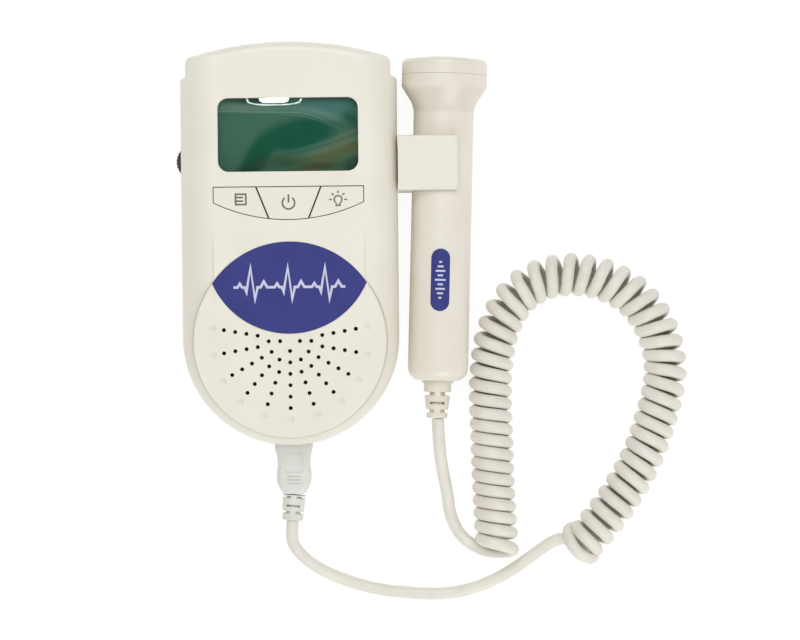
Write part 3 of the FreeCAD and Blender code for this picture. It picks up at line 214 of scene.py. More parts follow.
# %% Helix
POINTS_PER_TURN = 24
COIL_RADIUS = 5.35  # from the coil's axis to the middle of the cord
LEANS = [(-3, 11), (6, 4.5), (40, 2), (70, 0), (195, 0), (215, -8), (230, -8)]  # distance in mm, degrees


def along(line, distance):
    """Point and direction at a distance along a line. Past its ends it runs on straight."""
    left = distance
    for a, b in zip(line, line[1:]):
        step = (b - a).length
        if left <= step or b is line[-1]:
            way = (b - a).normalized()
            return a + way * left, way
        left -= step


def between(table, value):
    """Straight interpolation in a table of pairs."""
    for (v0, r0), (v1, r1) in zip(table, table[1:]):
        if value <= v1:
            return r0 + (r1 - r0) * (value - v0) / (v1 - v0)
    return table[-1][1]


helix = []
up = Vector((0, 0, 1))
for k in range(int((last_turn - first_turn) * POINTS_PER_TURN) - 1):
    turn = first_turn + k / POINTS_PER_TURN
    distance = place_of(turn)
    centre, way = along(coil_axis, distance * MM)
    side = way.cross(up)
    side.rotate(Matrix.Rotation(math.radians(-between(LEANS, distance)), 3, "Z"))
    round_axis = 2 * math.pi * (turn + 0.25)  # a whole turn number is the top
    helix.append(centre + (side * math.cos(round_axis) + up * math.sin(round_axis)) * COIL_RADIUS * MM)
print("turns:", last_turn - first_turn, "points:", len(helix))

# %% [markdown]
# ## Two stretches of one cord
# The turns and the long tail to the plug are one spline, whose cubic order rounds the places where the cord
# leaves the coil. The short tail from the probe is a stretch of its own, because it has to follow when the
# probe is lifted out, while the coil and the plug stay. The two meet end to end under the first turn.

# %% Cord
CORD = 4.1  # how thick it is
SWOLLEN = 1.03  # winding and heating leave the cord a little thicker in the turns


def tube(name, points, order, resolution, swollen=()):
    """A round cord along a smooth line: its piece, and the line that it follows."""
    curve = nurbs(name + " line", points, order, resolution)
    for k in swollen:
        curve.data.splines[0].points[k].radius = SWOLLEN
    line = line_of(points, order, resolution)
    curve.data.bevel_depth = CORD / 2 * MM
    curve.data.bevel_resolution = 3
    curve.data.use_fill_caps = True
    piece = put(name, plain_mesh(curve))
    bpy.data.objects.remove(curve)
    piece.data.name = name
    for polygon in piece.data.polygons:
        # Smooth caps would spoil the shading beside them
        polygon.use_smooth = len(polygon.vertices) < 5
    print(name, "m:", round(length_of(line), 4), "faces:", len(piece.data.polygons))
    return piece, line


STRAIGHT_ON = 0.35  # of the short tail's last step, so that the stretches meet without a kink
plug_tail = line_of([mm(*p) for p in PLUG_TAIL], resolution=3)
before, under_coil = mm(*PROBE_TAIL[-2]), mm(*PROBE_TAIL[-1])
lead_points = [under_coil, under_coil + (under_coil - before) * STRAIGHT_ON]
lead_points += helix + [mm(*p) for p in LAST_TURN] + plug_tail
lead, lead_line = tube("lead", lead_points, 4, 2, swollen=range(3, len(helix)))
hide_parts("cord_coil", "cord_plug_tail")
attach(lead, "main_unit")

probe_lead, probe_line = tube("probe_lead", [mm(*p) for p in PROBE_TAIL], 3, 8)
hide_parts("cord_probe_tail")
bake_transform(probe_lead)

# %% [markdown]
# ### Inside of the turns
# Shade falls inside the coil, so its inside is painted a little darker than the outside. Each vertex keeps
# how far inside it is as an attribute of the mesh, which the cord's material reads later: 0 at the middle of
# the cord and outwards, 1 at the point that faces the axis.

# %% Depth attribute
axis_points = KDTree(len(coil_axis))
for k, point in enumerate(coil_axis):
    axis_points.insert(point, k)
axis_points.balance()
inside = lead.data.attributes.new("inside", "FLOAT", "POINT")
for vertex, item in zip(lead.data.vertices, inside.data):
    _, _, from_axis = axis_points.find(vertex.co)
    item.value = min(max((COIL_RADIUS - from_axis / MM) / (CORD / 2), 0.0), 1.0)
print("vertices inside the turns:", sum(item.value > 0 for item in inside.data), "of", len(inside.data))

# %% [markdown]
# ## Effects as node groups
# A moulded plastic case is never one flat colour: its surface is sparked with a fine grain so that it
# doesn't shine, and its tint drifts a little. Rubber, paper and metal have the same kind of unevenness in
# other sizes. A node group with named sockets is built once and placed in each material with its own
# values, as one would reuse a stamp.

# %% Group tools
def group(name, inputs, outputs, kind="ShaderNodeTree"):
    """An empty node group with named sockets. Returns its tree, what comes in and what goes out."""
    tree = bpy.data.node_groups.new(name, kind)
    for side, sockets in (("INPUT", inputs), ("OUTPUT", outputs)):
        for label, value_kind in sockets:
            tree.interface.new_socket(name=label, in_out=side, socket_type="NodeSocket" + value_kind)
    return tree, tree.nodes.new("NodeGroupInput").outputs, tree.nodes.new("NodeGroupOutput").inputs


def join(tree, source, target):
    """Links an output to an input. A plain value is set on the input, and None leaves it alone."""
    if isinstance(source, bpy.types.NodeSocket):
        tree.links.new(source, target)
    elif source is not None:
        target.default_value = source


def fill(tree, node, **values):
    """Joins values to a node's inputs by name. Underscores stand for spaces."""
    for label, value in values.items():
        join(tree, value, node.inputs[label.replace("_", " ")])
    return node


def new_node(tree, kind, **values):
    return fill(tree, tree.nodes.new(kind), **values)


def math_node(tree, operation, a, b=None, clamp=False):
    """A Math node whose inputs are sockets or numbers. Returns its result."""
    node = tree.nodes.new("ShaderNodeMath")
    node.operation = operation
    node.use_clamp = clamp
    for socket, value in zip(node.inputs, (a, b)):
        join(tree, value, socket)
    return node.outputs[0]


def vector_node(tree, operation, a, b=None, scale=None):
    """A Vector Math node, in the same way."""
    node = tree.nodes.new("ShaderNodeVectorMath")
    node.operation = operation
    for socket, value in zip(node.inputs, (a, b)):
        join(tree, value, socket)
    if operation == "SCALE":
        join(tree, scale, node.inputs["Scale"])
    return node.outputs["Value"] if operation in ("LENGTH", "DOT_PRODUCT") else node.outputs["Vector"]


def mixed(tree, share, a, b):
    """A colour between a and b. Each input is a socket or a colour."""
    node = tree.nodes.new("ShaderNodeMix")
    node.data_type = "RGBA"
    return fill(tree, node, Factor=share, A=a, B=b).outputs["Result"]


print("groups can be built")

# %% [markdown]
# ### Grain
# Two noises: a fine one for the height and gloss of the sparked texture and a wide one that tells where
# the tint drifts. Both sizes are asked for in millimetres, which is easier to judge than a noise scale.

# %% Grain group
GRAIN_INPUTS = [("Place", "Vector"), ("Grain mm", "Float"), ("Drift mm", "Float"), ("Tint", "Color"),
                ("Shade", "Color"), ("Gloss", "Float"), ("Unevenness", "Float")]
GRAIN_OUTPUTS = [("Color", "Color"), ("Roughness", "Float"), ("Height", "Float")]
grain, g_in, g_out = group("grain", GRAIN_INPUTS, GRAIN_OUTPUTS)


def noise(tree, place, size_mm, detail):
    """Noise whose blotches are about size_mm across. Place is in metres."""
    scaled = vector_node(tree, "SCALE", place, scale=math_node(tree, "DIVIDE", 1 / MM, size_mm))
    return new_node(tree, "ShaderNodeTexNoise", Scale=1.0, Detail=detail, Vector=scaled).outputs["Fac"]


fine = noise(grain, g_in["Place"], g_in["Grain mm"], 2.0)
wide = noise(grain, g_in["Place"], g_in["Drift mm"], 3.0)
share = math_node(grain, "MULTIPLY", math_node(grain, "SUBTRACT", wide, 0.35), 3.0, clamp=True)
join(grain, mixed(grain, share, g_in["Tint"], g_in["Shade"]), g_out["Color"])
swing = math_node(grain, "MULTIPLY", math_node(grain, "SUBTRACT", fine, 0.5), g_in["Unevenness"])
join(grain, math_node(grain, "ADD", g_in["Gloss"], swing, clamp=True), g_out["Roughness"])
join(grain, fine, g_out["Height"])
print("grain sockets:", [s.name for s in g_out if s.name])

# %% [markdown]
# ### Band
# A soft-edged stripe where some value, such as a height, is near a centre. It draws the seam between two
# mouldings, the coloured ends of a battery, painted shade along rims and edges, and the faint painted
# reflections that streak the display.

# %% Band group
band, b_in, b_out = group(
    "band", [("Value", "Float"), ("Centre", "Float"), ("Half width", "Float"), ("Softness", "Float")],
    [("Mask", "Float")])
off = math_node(band, "ABSOLUTE", math_node(band, "SUBTRACT", b_in["Value"], b_in["Centre"]))
past = math_node(band, "SUBTRACT", off, b_in["Half width"])
fade = math_node(band, "DIVIDE", past, b_in["Softness"])
join(band, math_node(band, "SUBTRACT", 1.0, fade, clamp=True), b_out["Mask"])
print("band inputs:", [s.name for s in b_in if s.name])

# %% [markdown]
# ### Soft patch
# An oval that is strongest in its middle and dies away at its rim, turned to any angle. Several of them laid
# over each other give the display its cloudy colours.

# %% Soft patch group
patch, p_in, p_out = group(
    "soft patch", [("Place", "Vector"), ("Centre", "Vector"), ("Size", "Vector"), ("Turn", "Float")],
    [("Mask", "Float")])
moved = vector_node(patch, "SUBTRACT", p_in["Place"], p_in["Centre"])
turned = new_node(patch, "ShaderNodeVectorRotate", Vector=moved, Angle=p_in["Turn"])
turned.rotation_type = "Z_AXIS"
flat = vector_node(patch, "MULTIPLY", turned.outputs["Vector"], (1.0, 1.0, 0.0))
reach = vector_node(patch, "LENGTH", vector_node(patch, "DIVIDE", flat, p_in["Size"]))
ramp = new_node(patch, "ShaderNodeMapRange", Value=reach, From_Min=1.0, From_Max=0.0)
ramp.interpolation_type = "SMOOTHSTEP"
join(patch, ramp.outputs["Result"], p_out["Mask"])
print("patch inputs:", [s.name for s in p_in if s.name])

# %% [markdown]
# ## Finishes
# One function makes each plain moulded, rubber, paper or metal finish from the grain group. Colours are
# written as they look, from 0 to 255, and turned into the linear values that Blender calculates with.

# %% Finish maker
def colour(red, green, blue):
    """A display colour as linear RGBA."""
    linear = [((v / 255 + 0.055) / 1.055) ** 2.4 if v > 10 else v / 255 / 12.92 for v in (red, green, blue)]
    return (*linear, 1.0)


def place_group(tree, which, **values):
    """A copy of a node group in a material."""
    node = tree.nodes.new("ShaderNodeGroup")
    node.node_tree = which
    return fill(tree, node, **values)


def start_material(name):
    """A material with only an output and a Principled shader. Returns it, its tree and the shader."""
    material = bpy.data.materials.new(name)
    material.use_nodes = True
    tree = material.node_tree
    shader = tree.nodes["Principled BSDF"]
    return material, tree, shader


def object_place(tree):
    return tree.nodes.new("ShaderNodeTexCoord").outputs["Object"]


def grained(tree, tint, shade, gloss, grain_mm, drift_mm, uneven=0.1):
    """The grain group's outputs: tint drifting to shade, gloss as roughness, sizes in mm."""
    return place_group(tree, grain, Place=object_place(tree), Tint=colour(*tint), Shade=colour(*shade),
                       Gloss=gloss, Grain_mm=grain_mm, Drift_mm=drift_mm, Unevenness=uneven).outputs


def finish(name, tint, shade, gloss, grain_mm=0.25, drift_mm=18.0, depth=0.01, uneven=0.1, metal=0.0,
           specular=0.5):
    """A solid finish. Its grain has a size and a depth in mm."""
    material, tree, shader = start_material(name)
    base = grained(tree, tint, shade, gloss, grain_mm, drift_mm, uneven)
    bump = new_node(tree, "ShaderNodeBump", Strength=1.0, Distance=depth * MM, Height=base["Height"])
    fill(tree, shader, Base_Color=base["Color"], Roughness=base["Roughness"], Normal=bump.outputs["Normal"],
         Metallic=metal, Specular_IOR_Level=specular)
    return material


def wear(material, *names):
    """The CAD pieces of these names get this material."""
    for name in names:
        for place in nodes[name].material_slots:
            place.material = material
    print(material.name, "on", ", ".join(names))


print("mid grey as linear values:", [round(v, 3) for v in colour(128, 128, 128)[:3]])

# %% [markdown]
# ### Dark bands
# Seams show as dark joints, and shade is painted into dimples, gaps and creases along edges. An image of them
# would need an unwrapped mesh.
# Here a band of colour is mixed over a finish instead, wherever a height, a width or the distance from a
# point is near some value.

# %% Dark bands
def stripe(tree, value, centre, half, softness):
    """The mask of a band group in a material."""
    return place_group(tree, band, Value=value, Centre=centre, Half_width=half,
                       Softness=softness).outputs["Mask"]


def tint_over(material, mask, tint):
    """Mixes a colour over what a finish shows, where the mask says."""
    tree = material.node_tree
    shown = tree.nodes["Principled BSDF"].inputs["Base Color"]
    join(tree, mixed(tree, mask, shown.links[0].from_socket, colour(*tint)), shown)


def darken(material, where, centre_mm, half_mm, soft_mm, tint, share=1.0, limits=None):
    """Tints a finish in a band at a distance along X, Y or Z, or from a point. Limits are where the band
    starts and stops along the case, and how softly."""
    tree = material.node_tree
    in_mm = vector_node(tree, "SCALE", object_place(tree), scale=1 / MM)
    place = new_node(tree, "ShaderNodeSeparateXYZ", Vector=in_mm).outputs
    if isinstance(where, str):
        value = math_node(tree, "ABSOLUTE", place[where])
    else:
        offsets = [math_node(tree, "SUBTRACT", place[axis], v) for axis, v in zip("XY", where)]
        squares = [math_node(tree, "MULTIPLY", v, v) for v in offsets]
        value = math_node(tree, "SQRT", math_node(tree, "ADD", *squares))
    mask = math_node(tree, "MULTIPLY", stripe(tree, value, centre_mm, half_mm, soft_mm), share)
    if limits:
        low, high, fade = limits
        within = stripe(tree, place["Y"], (low + high) / 2, (high - low) / 2, fade)
        mask = math_node(tree, "MULTIPLY", mask, within)
    tint_over(material, mask, tint)


print("bands are drawn with", band.name, "which has", len(band.nodes), "nodes")

# %% [markdown]
# ### The case
# The two shells are cream ABS, sparked so that they don't shine. A thin dark line marks the seam where they
# meet. Fainter lines of painted shade mark the foot of the speaker's disc rim and the edges of the raised
# strip, and painted shade darkens the dimples. The clip and the battery cover come from another mould and are
# a little greyer.

# %% Case
CREAM = (237, 234, 223)
CREAM_SHADE = (234, 230, 217)
SEAM_HEIGHT = 15.0
DISC_MIDDLE = (0.0, -32.4)
DISC_RADIUS = 32.35
DIMPLE_FLOOR = 31.72
STRIP_HALF = 25.3
BELOW_STRIP = (-80.0, -12.4, 0.3)
case = finish("case plastic", CREAM, CREAM_SHADE, 0.42)
back = finish("back plastic", CREAM, CREAM_SHADE, 0.42)
for half in (case, back):
    darken(half, "Z", SEAM_HEIGHT, 0.07, 0.08, (120, 116, 106))
# Painted shade at the foot of the disc's rim below the strip, then along the strip's own edges, fading out
# towards the display
darken(case, DISC_MIDDLE, DISC_RADIUS, 0.1, 0.35, (176, 173, 160), 0.45, limits=BELOW_STRIP)
darken(case, "X", STRIP_HALF, 0.06, 0.2, (180, 177, 165), 0.35, limits=(-12.2, -4.0, 10.0))
# Painted shade in the blind dimples round the sound holes
darken(case, "Z", DIMPLE_FLOOR, 0.06, 0.16, (205, 200, 186), 0.3, limits=BELOW_STRIP)
wear(case, "front_shell")
wear(back, "rear_shell")
wear(finish("clip plastic", (235, 232, 221), (232, 228, 215), 0.42), "probe_holder", "battery_cover")

# %% [markdown]
# ### Keys and probe
# The keys stand in one opening. Their sides are painted nearly black, as painted shade in the gaps round
# them. The probe is glossier than the case, so that gel wipes off it. A wide soft band of painted shade makes
# the flare below its head a touch darker, where it turns away from the light.

# %% Keys and probe
KEY_SIDE_SHADE = 29.5
keys = finish("key plastic", (235, 232, 221), (233, 230, 217), 0.5, grain_mm=0.18)
# Painted shade on the keys' sides, which show in the gaps
darken(keys, "Z", KEY_SIDE_SHADE, 2.0, 0.05, (26, 24, 20))
wear(keys, "key_mode", "key_power", "key_light")
FLARE_SHADE_PLACE = 48.0  # along the case
handle = finish("probe plastic", (235, 231, 219), (231, 226, 212), 0.3, grain_mm=0.35, depth=0.006)
# Painted shade on the flare below the probe's head
darken(handle, "Y", FLARE_SHADE_PLACE, 3.2, 1.8, (217, 210, 198), 0.5, limits=(30.0, 66.0, 2.0))
wear(handle, "probe_shell", "probe_face")

# %% [markdown]
# ### Plug, reliefs and lead
# The plug is a cooler white than the case, because it is another plastic. The reliefs and the lead are soft
# vinyl: duller, and a little greyer where hands and tables have rubbed them. The painted shade between the
# turns comes from the attribute that the coil's vertices keep.

# %% Soft parts
wear(finish("plug plastic", (226, 228, 223), (219, 221, 215), 0.38, drift_mm=6.0), "plug_body", "plug_nose")
wear(finish("plug vinyl", (226, 227, 219), (219, 220, 212), 0.5, grain_mm=0.2, drift_mm=5.0), "plug_relief")
wear(finish("relief vinyl", (231, 226, 213), (225, 220, 206), 0.5, grain_mm=0.2, drift_mm=5.0),
     "probe_relief")
INSIDE_SHADE = 0.42  # share of the painted shade's colour where a turn faces the axis
lead_vinyl = finish("lead vinyl", (233, 230, 221), (226, 222, 211), 0.45, grain_mm=0.3, drift_mm=9.0,
                    depth=0.008)
depth = lead_vinyl.node_tree.nodes.new("ShaderNodeAttribute")
depth.attribute_name = "inside"
# Painted shade between the turns, strongest where a turn faces the axis
tint_over(lead_vinyl, math_node(lead_vinyl.node_tree, "MULTIPLY", depth.outputs["Fac"], INSIDE_SHADE), (100, 95, 86))
for stretch in (lead, probe_lead):
    stretch.data.materials.append(lead_vinyl)
    print(stretch.name, "wears", stretch.data.materials[0].name)

# %% [markdown]
# ### Inside parts
# Behind the shells are black mouldings, paper, foam and metal. They show through the sound
# holes, round the jack, and when the battery cover slides off, so they get true finishes as well.

# %% Black mouldings, cone and foam
wear(finish("black moulding", (40, 40, 41), (33, 33, 34), 0.45, grain_mm=0.3),
     "display_frame", "key_switches", "earphone_jack", "volume_pot", "probe_socket")
wear(finish("thumbwheel plastic", (62, 61, 59), (52, 51, 50), 0.4, grain_mm=0.25), "volume_wheel")
wear(finish("cone paper", (34, 32, 30), (26, 25, 24), 0.8, grain_mm=0.4, drift_mm=4.0, depth=0.03),
     "speaker_cone")
wear(finish("foam", (52, 51, 50), (38, 38, 38), 0.9, grain_mm=0.35, drift_mm=2.0, depth=0.08),
     "speaker_gasket", "probe_backing")
wear(finish("crystal ceramic", (203, 190, 160), (188, 172, 140), 0.35, grain_mm=0.12, drift_mm=3.0),
     "probe_crystals")
wear(finish("chip epoxy", (38, 38, 40), (30, 30, 31), 0.55, grain_mm=0.15, drift_mm=3.0), "board_parts")

# %% [markdown]
# ### Metal
# Plated steel is mostly mirror. What tells it from chrome is a gloss that changes over the surface, so
# the grain group's unevenness is turned up here.

# %% Metals
METALS = [
    # name, tint, shade, gloss, grain and drift in mm, unevenness, nodes
    ("zinc plating", (172, 172, 174), (150, 150, 154), 0.32, 0.5, 1.5, 0.3, ("case_screws", "board_screws")),
    ("nickel plating", (204, 200, 190), (190, 186, 176), 0.22, 0.8, 2.5, 0.25,
     ("battery_contacts", "battery_springs", "plug_contacts", "socket_contacts")),
    ("speaker steel", (140, 141, 144), (120, 121, 124), 0.4, 0.6, 5.0, 0.25,
     ("speaker_basket", "speaker_magnet")),
]
for name, tint, shade, gloss, grain_mm, drift_mm, uneven, names in METALS:
    wear(finish(name, tint, shade, gloss, grain_mm, drift_mm, uneven=uneven, metal=1.0), *names)

# %% [markdown]
# ### Batteries
# Each cell has a dark sleeve with a copper-coloured end at its plus pole and bare steel at its tip. The
# cells lie head to tail, so the copper end is at the top of one and at the bottom of the other. Bands
# along the cell draw the print, which takes no image and no unwrapping.

# %% Battery sleeves
SLEEVE_DARK = (30, 31, 34)
SLEEVE_SHADE = (24, 25, 28)
SLEEVE_COPPER = (186, 112, 62)
BARE_STEEL = (200, 200, 202)
COPPER_HALF = 7.5  # half as long as the copper part
COPPER_MIDDLE = 8.8  # from the end of the cell
TIP_HALF = 1.4
TIP_MIDDLE = 0.6


def sleeve(name, copper_y, tip_y):
    """A printed sleeve, copper near one height along the case and steel beyond its end."""
    material, tree, shader = start_material(name)
    height = new_node(tree, "ShaderNodeSeparateXYZ", Vector=object_place(tree)).outputs["Y"]
    base = grained(tree, SLEEVE_DARK, SLEEVE_SHADE, 0.28, 0.4, 8.0)
    copper = stripe(tree, height, copper_y * MM, COPPER_HALF * MM, 0.1 * MM)
    tip = stripe(tree, height, tip_y * MM, TIP_HALF * MM, 0.05 * MM)
    ink = mixed(tree, copper, base["Color"], colour(*SLEEVE_COPPER))
    fill(tree, shader, Base_Color=mixed(tree, tip, ink, colour(*BARE_STEEL)), Roughness=base["Roughness"],
         Metallic=math_node(tree, "MAXIMUM", copper, tip))
    return material


left_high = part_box("battery_cell_left")[1].y / MM
right_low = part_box("battery_cell_right")[0].y / MM
wear(sleeve("sleeve up", left_high - COPPER_MIDDLE, left_high - TIP_MIDDLE), "battery_cell_left")
wear(sleeve("sleeve down", right_low + COPPER_MIDDLE, right_low + TIP_MIDDLE), "battery_cell_right")

# %% [markdown]
# ### Circuit boards
# Green solder mask lies over copper tracks, which show as slightly lighter lines that run mostly square
# to each other. A Voronoi texture with its distance measured along the axes gives such lines.

# %% Boards
board, tree, shader = start_material("solder mask")
tracks = new_node(tree, "ShaderNodeTexVoronoi", Vector=object_place(tree), Scale=420.0)
tracks.feature = "F1"
tracks.distance = "CHEBYCHEV"
track = stripe(tree, tracks.outputs["Distance"], 0.42, 0.03, 0.02)
base = grained(tree, (24, 92, 56), (18, 78, 46), 0.3, 0.3, 6.0)
copper_lines = mixed(tree, track, base["Color"], colour(52, 124, 78))
fill(tree, shader, Base_Color=copper_lines, Roughness=base["Roughness"])
wear(board, "main_board", "probe_board")

# %% [markdown]
# ## The display
# The display is painted a cloudy dark green: lighter towards the left and the upper right, deepest in a band
# that rises to the right, and brownish low on the right. Soft patches laid over each other make that cloud
# without an image.

# %% Display colours
lcd, tree, shader = start_material("liquid crystal")
place = object_place(tree)
wobble = new_node(tree, "ShaderNodeTexNoise", Vector=place, Scale=60.0, Detail=2.0)
shift = vector_node(tree, "SUBTRACT", wobble.outputs["Color"], (0.5, 0.5, 0.5))
in_mm = vector_node(tree, "SCALE", place, scale=1 / MM)
bent = vector_node(tree, "ADD", in_mm, vector_node(tree, "SCALE", shift, scale=4.0))
PATCHES = [
    # middle x, y and size x, y in mm, rise in degrees, strength, colour
    ((3.8, 36.4), (19.0, 7.6), 12, 1.9, (0, 80, 61)),
    ((-9.6, 31.0), (11.5, 5.2), 47, 2.2, (2, 82, 58)),
    ((-11.5, 26.0), (9.0, 3.6), 20, 1.5, (12, 68, 42)),
    ((13.5, 45.2), (17.0, 5.0), -6, 1.4, (68, 116, 110)),
    ((-15.0, 45.2), (15.0, 3.0), -3, 0.9, (80, 110, 92)),
    ((-13.0, 48.6), (15.0, 2.4), 0, 0.9, (42, 74, 60)),
    ((12.5, 48.7), (10.0, 2.0), 0, 0.9, (70, 70, 58)),
    ((20.4, 41.0), (5.0, 6.0), 30, 1.0, (30, 84, 70)),
    ((0.0, 27.6), (15.0, 3.6), 6, 1.2, (50, 86, 58)),
    ((14.5, 30.4), (16.0, 4.4), 18, 1.5, (84, 98, 66)),
    ((19.0, 36.2), (8.0, 2.6), 25, 0.9, (78, 98, 74)),
    ((10.0, 25.8), (13.0, 2.4), 8, 1.0, (72, 76, 44)),
    ((21.4, 31.2), (4.0, 3.0), 20, 0.9, (92, 94, 62)),
    ((21.0, 26.0), (4.5, 4.0), 0, 1.3, (42, 74, 58)),
]
cloud = colour(60, 105, 85)
for (x, y), (wide_mm, high_mm), rise, strength, tint in PATCHES:
    spot = place_group(tree, patch, Place=bent, Centre=(x, y, 0.0), Size=(wide_mm, high_mm, 1.0),
                       Turn=-math.radians(rise))
    cloud = mixed(tree, math_node(tree, "MULTIPLY", spot.outputs["Mask"], strength), cloud, colour(*tint))
print("patches in the display:", len(PATCHES))

# %% [markdown]
# ### Streaks in the display
# Thin pale streaks are painted over the cloud: a painted reflection of the room around the window. A streak
# is the place where height, slope and droop add up to a fixed number, so the band group can draw it.

# %% Display streaks
slightly_bent = vector_node(tree, "ADD", in_mm, vector_node(tree, "SCALE", shift, scale=0.8))
place = new_node(tree, "ShaderNodeSeparateXYZ", Vector=slightly_bent).outputs
to_right = math_node(tree, "MAXIMUM", place["X"], 0.0)
droop = math_node(tree, "MULTIPLY", to_right, to_right)
# Painted reflection: pale streaks mixed over the display's colours
REFLECTION_STREAKS = [
    # height in the middle and slope, droop towards the right, half width in mm, strength, from x to x
    (43.9, -0.02, 0.0165, 0.07, 0.32, -30.0, 10.0),
    (45.2, -0.03, 0.0120, 0.40, 0.20, -30.0, 14.0),
    (43.1, -0.05, 0.0140, 0.06, 0.20, 2.0, 13.0),
    (28.4, 0.20, -0.0040, 0.30, 0.12, 6.0, 30.0),
    (31.0, 0.16, -0.0060, 0.20, 0.10, 4.0, 30.0),
]
for level, slope, droops, half, strength, x_low, x_high in REFLECTION_STREAKS:
    straight = math_node(tree, "SUBTRACT", place["Y"], math_node(tree, "MULTIPLY", place["X"], slope))
    straight = math_node(tree, "ADD", straight, math_node(tree, "MULTIPLY", droop, droops))
    streak = stripe(tree, straight, level, half, half * 4)
    reach = stripe(tree, place["X"], (x_low + x_high) / 2, (x_high - x_low) / 2, 8.0)
    mask = math_node(tree, "MULTIPLY", streak, reach)
    cloud = mixed(tree, math_node(tree, "MULTIPLY", mask, strength), cloud, colour(140, 170, 156))
fill(tree, shader, Base_Color=cloud, Roughness=0.35, Specular_IOR_Level=0.05)
wear(lcd, "display_module")
wear(finish("light guide", (226, 230, 220), (216, 222, 210), 0.5, drift_mm=8.0), "display_backlight")

# %% [markdown]
# ## The window
# Clear plastic passes light both ways. A path tracer can't aim its shadow rays through real glass, so what
# lies behind would be dark and noisy. The common way out is to let shadow and diffuse rays pass
# straight through, while the camera still meets glass.

# %% Window
def together(tree, kind, *sources):
    """A node that mixes or adds shaders, with its inputs in order. Returns its result."""
    node = tree.nodes.new(kind)
    for source, socket in zip(sources, node.inputs):
        join(tree, source, socket)
    return node.outputs[0]


window, tree, glass = start_material("clear window")
fill(tree, glass, Base_Color=(0.96, 0.99, 0.97, 1.0), Roughness=0.0, IOR=1.49, Transmission_Weight=1.0)
clear = tree.nodes.new("ShaderNodeBsdfTransparent")
rays = tree.nodes.new("ShaderNodeLightPath").outputs
passing = math_node(tree, "MAXIMUM", rays["Is Shadow Ray"], rays["Is Diffuse Ray"])
surface = together(tree, "ShaderNodeMixShader", passing, glass.outputs[0], clear.outputs[0])
join(tree, surface, tree.nodes["Material Output"].inputs["Surface"])
wear(window, "display_window")

# %% [markdown]
# ## Printed marks
# Each key has a symbol printed in grey: a list, the power sign and a lamp. A printed stroke is a narrow
# band of ink with a real edge, so it is built as thin solid strips along a line of points. The strips are
# told where to lie by a function, so the same maker prints on the flat keys and on the round probe.

# %% Ink maker
INK_DEEP = 0.02  # how far a strip reaches down into what it is printed on
INK_PROUD = 0.006  # how far it stands out
SHARPEST = 0.25  # keeps the corner of a sharp bend from running away


def strip(mesh, points, width, lay, closed=False):
    """Adds one strip of a width along points to a bmesh. lay turns (u, v, height) into a place."""
    count = len(points)
    rings = []
    for k, point in enumerate(points):
        here = Vector(point)
        ways = []
        if k or closed:
            ways.append((here - Vector(points[k - 1])).normalized())
        if k + 1 < count or closed:
            ways.append((Vector(points[(k + 1) % count]) - here).normalized())
        mean = sum(ways, Vector((0, 0))).normalized()
        out = Vector((-mean.y, mean.x)) * width / 2 / max(mean.dot(ways[0]), SHARPEST)
        corners = ((1, INK_PROUD), (-1, INK_PROUD), (-1, -INK_DEEP), (1, -INK_DEEP))
        rings.append([mesh.verts.new(lay(here.x + out.x * s, here.y + out.y * s, h)) for s, h in corners])
    pairs = list(zip(rings, rings[1:]))
    if closed:
        pairs.append((rings[-1], rings[0]))
    for near, far in pairs:
        for k in range(4):
            mesh.faces.new((near[k], near[(k + 1) % 4], far[(k + 1) % 4], far[k]))
    if not closed:
        mesh.faces.new(rings[0][::-1])
        mesh.faces.new(rings[-1])


print("ink stands proud by, mm:", INK_PROUD)

# %% [markdown]
# ### From strokes to a piece
# A finished mesh becomes an object that rides on one of the frame's bodies, so that it moves with the
# body's joint, and that takes the slot of the finish it belongs to.

# %% Piece maker
def new_object(name, mesh, material):
    """An object in the scene made from a bmesh, in one material."""
    data = bpy.data.meshes.new(name)
    mesh.to_mesh(data)
    mesh.free()
    data.materials.append(material)
    print(name, "faces:", len(data.polygons))
    return put(name, data)


def new_piece(name, mesh, material, body):
    """A piece of the object, which rides on one of its bodies."""
    piece = new_object(name, mesh, material)
    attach(piece, body)


def printed(name, strokes, width, lay, body, material):
    """A piece made of ink strips. A stroke is (points, closed)."""
    mesh = bmesh.new()
    for points, closed in strokes:
        strip(mesh, points, width, lay, closed)
    bmesh.ops.recalc_face_normals(mesh, faces=mesh.faces)
    new_piece(name, mesh, material, body)


def on_level(z):
    """Lays strips on a flat face at a height."""
    return lambda u, v, h: mm(u, v, z + h)


def round_stroke(x, y, radius, start=0, stop=360, steps=40):
    """Points of a circle or an arc, in degrees from the right, turning left."""
    whole = abs(stop - start) >= 360
    count = steps if whole else steps + 1
    angles = [math.radians(start + (stop - start) * k / steps) for k in range(count)]
    return [(x + radius * math.cos(a), y + radius * math.sin(a)) for a in angles], whole


print("points of a whole circle:", len(round_stroke(0, 0, 1)[0]))

# %% [markdown]
# ### Key symbols
# Each symbol is drawn with a few strokes about the middle of its key. Arcs make the open ring of the
# power sign and the bulb of the lamp, and everything else is straight.

# %% Key symbols
KEY_FACE = 32.15
INK_WIDTH = 0.58
on_keys = on_level(KEY_FACE)
grey_ink = finish("grey ink", (112, 109, 100), (105, 102, 94), 0.55, grain_mm=0.1, drift_mm=1.0, depth=0.002)

x, y, half = -15.9, 14.9, 1.72
list_strokes = [
    ([(x - half, y - half), (x + half, y - half), (x + half, y + half), (x - half, y + half)], True),
    ([(x - half + 0.2, y + 0.62), (x + half - 0.9, y + 0.62)], False),
    ([(x - half + 0.2, y - 0.58), (x + half - 0.9, y - 0.58)], False),
]
printed("list_symbol", list_strokes, INK_WIDTH, on_keys, "mode_key", grey_ink)

x, y = 0.0, 13.6
power_strokes = [round_stroke(x, y, 2.05, 126, 414), ([(x, y + 0.1), (x, y + 2.85)], False)]
printed("power_symbol", power_strokes, INK_WIDTH, on_keys, "power_key", grey_ink)

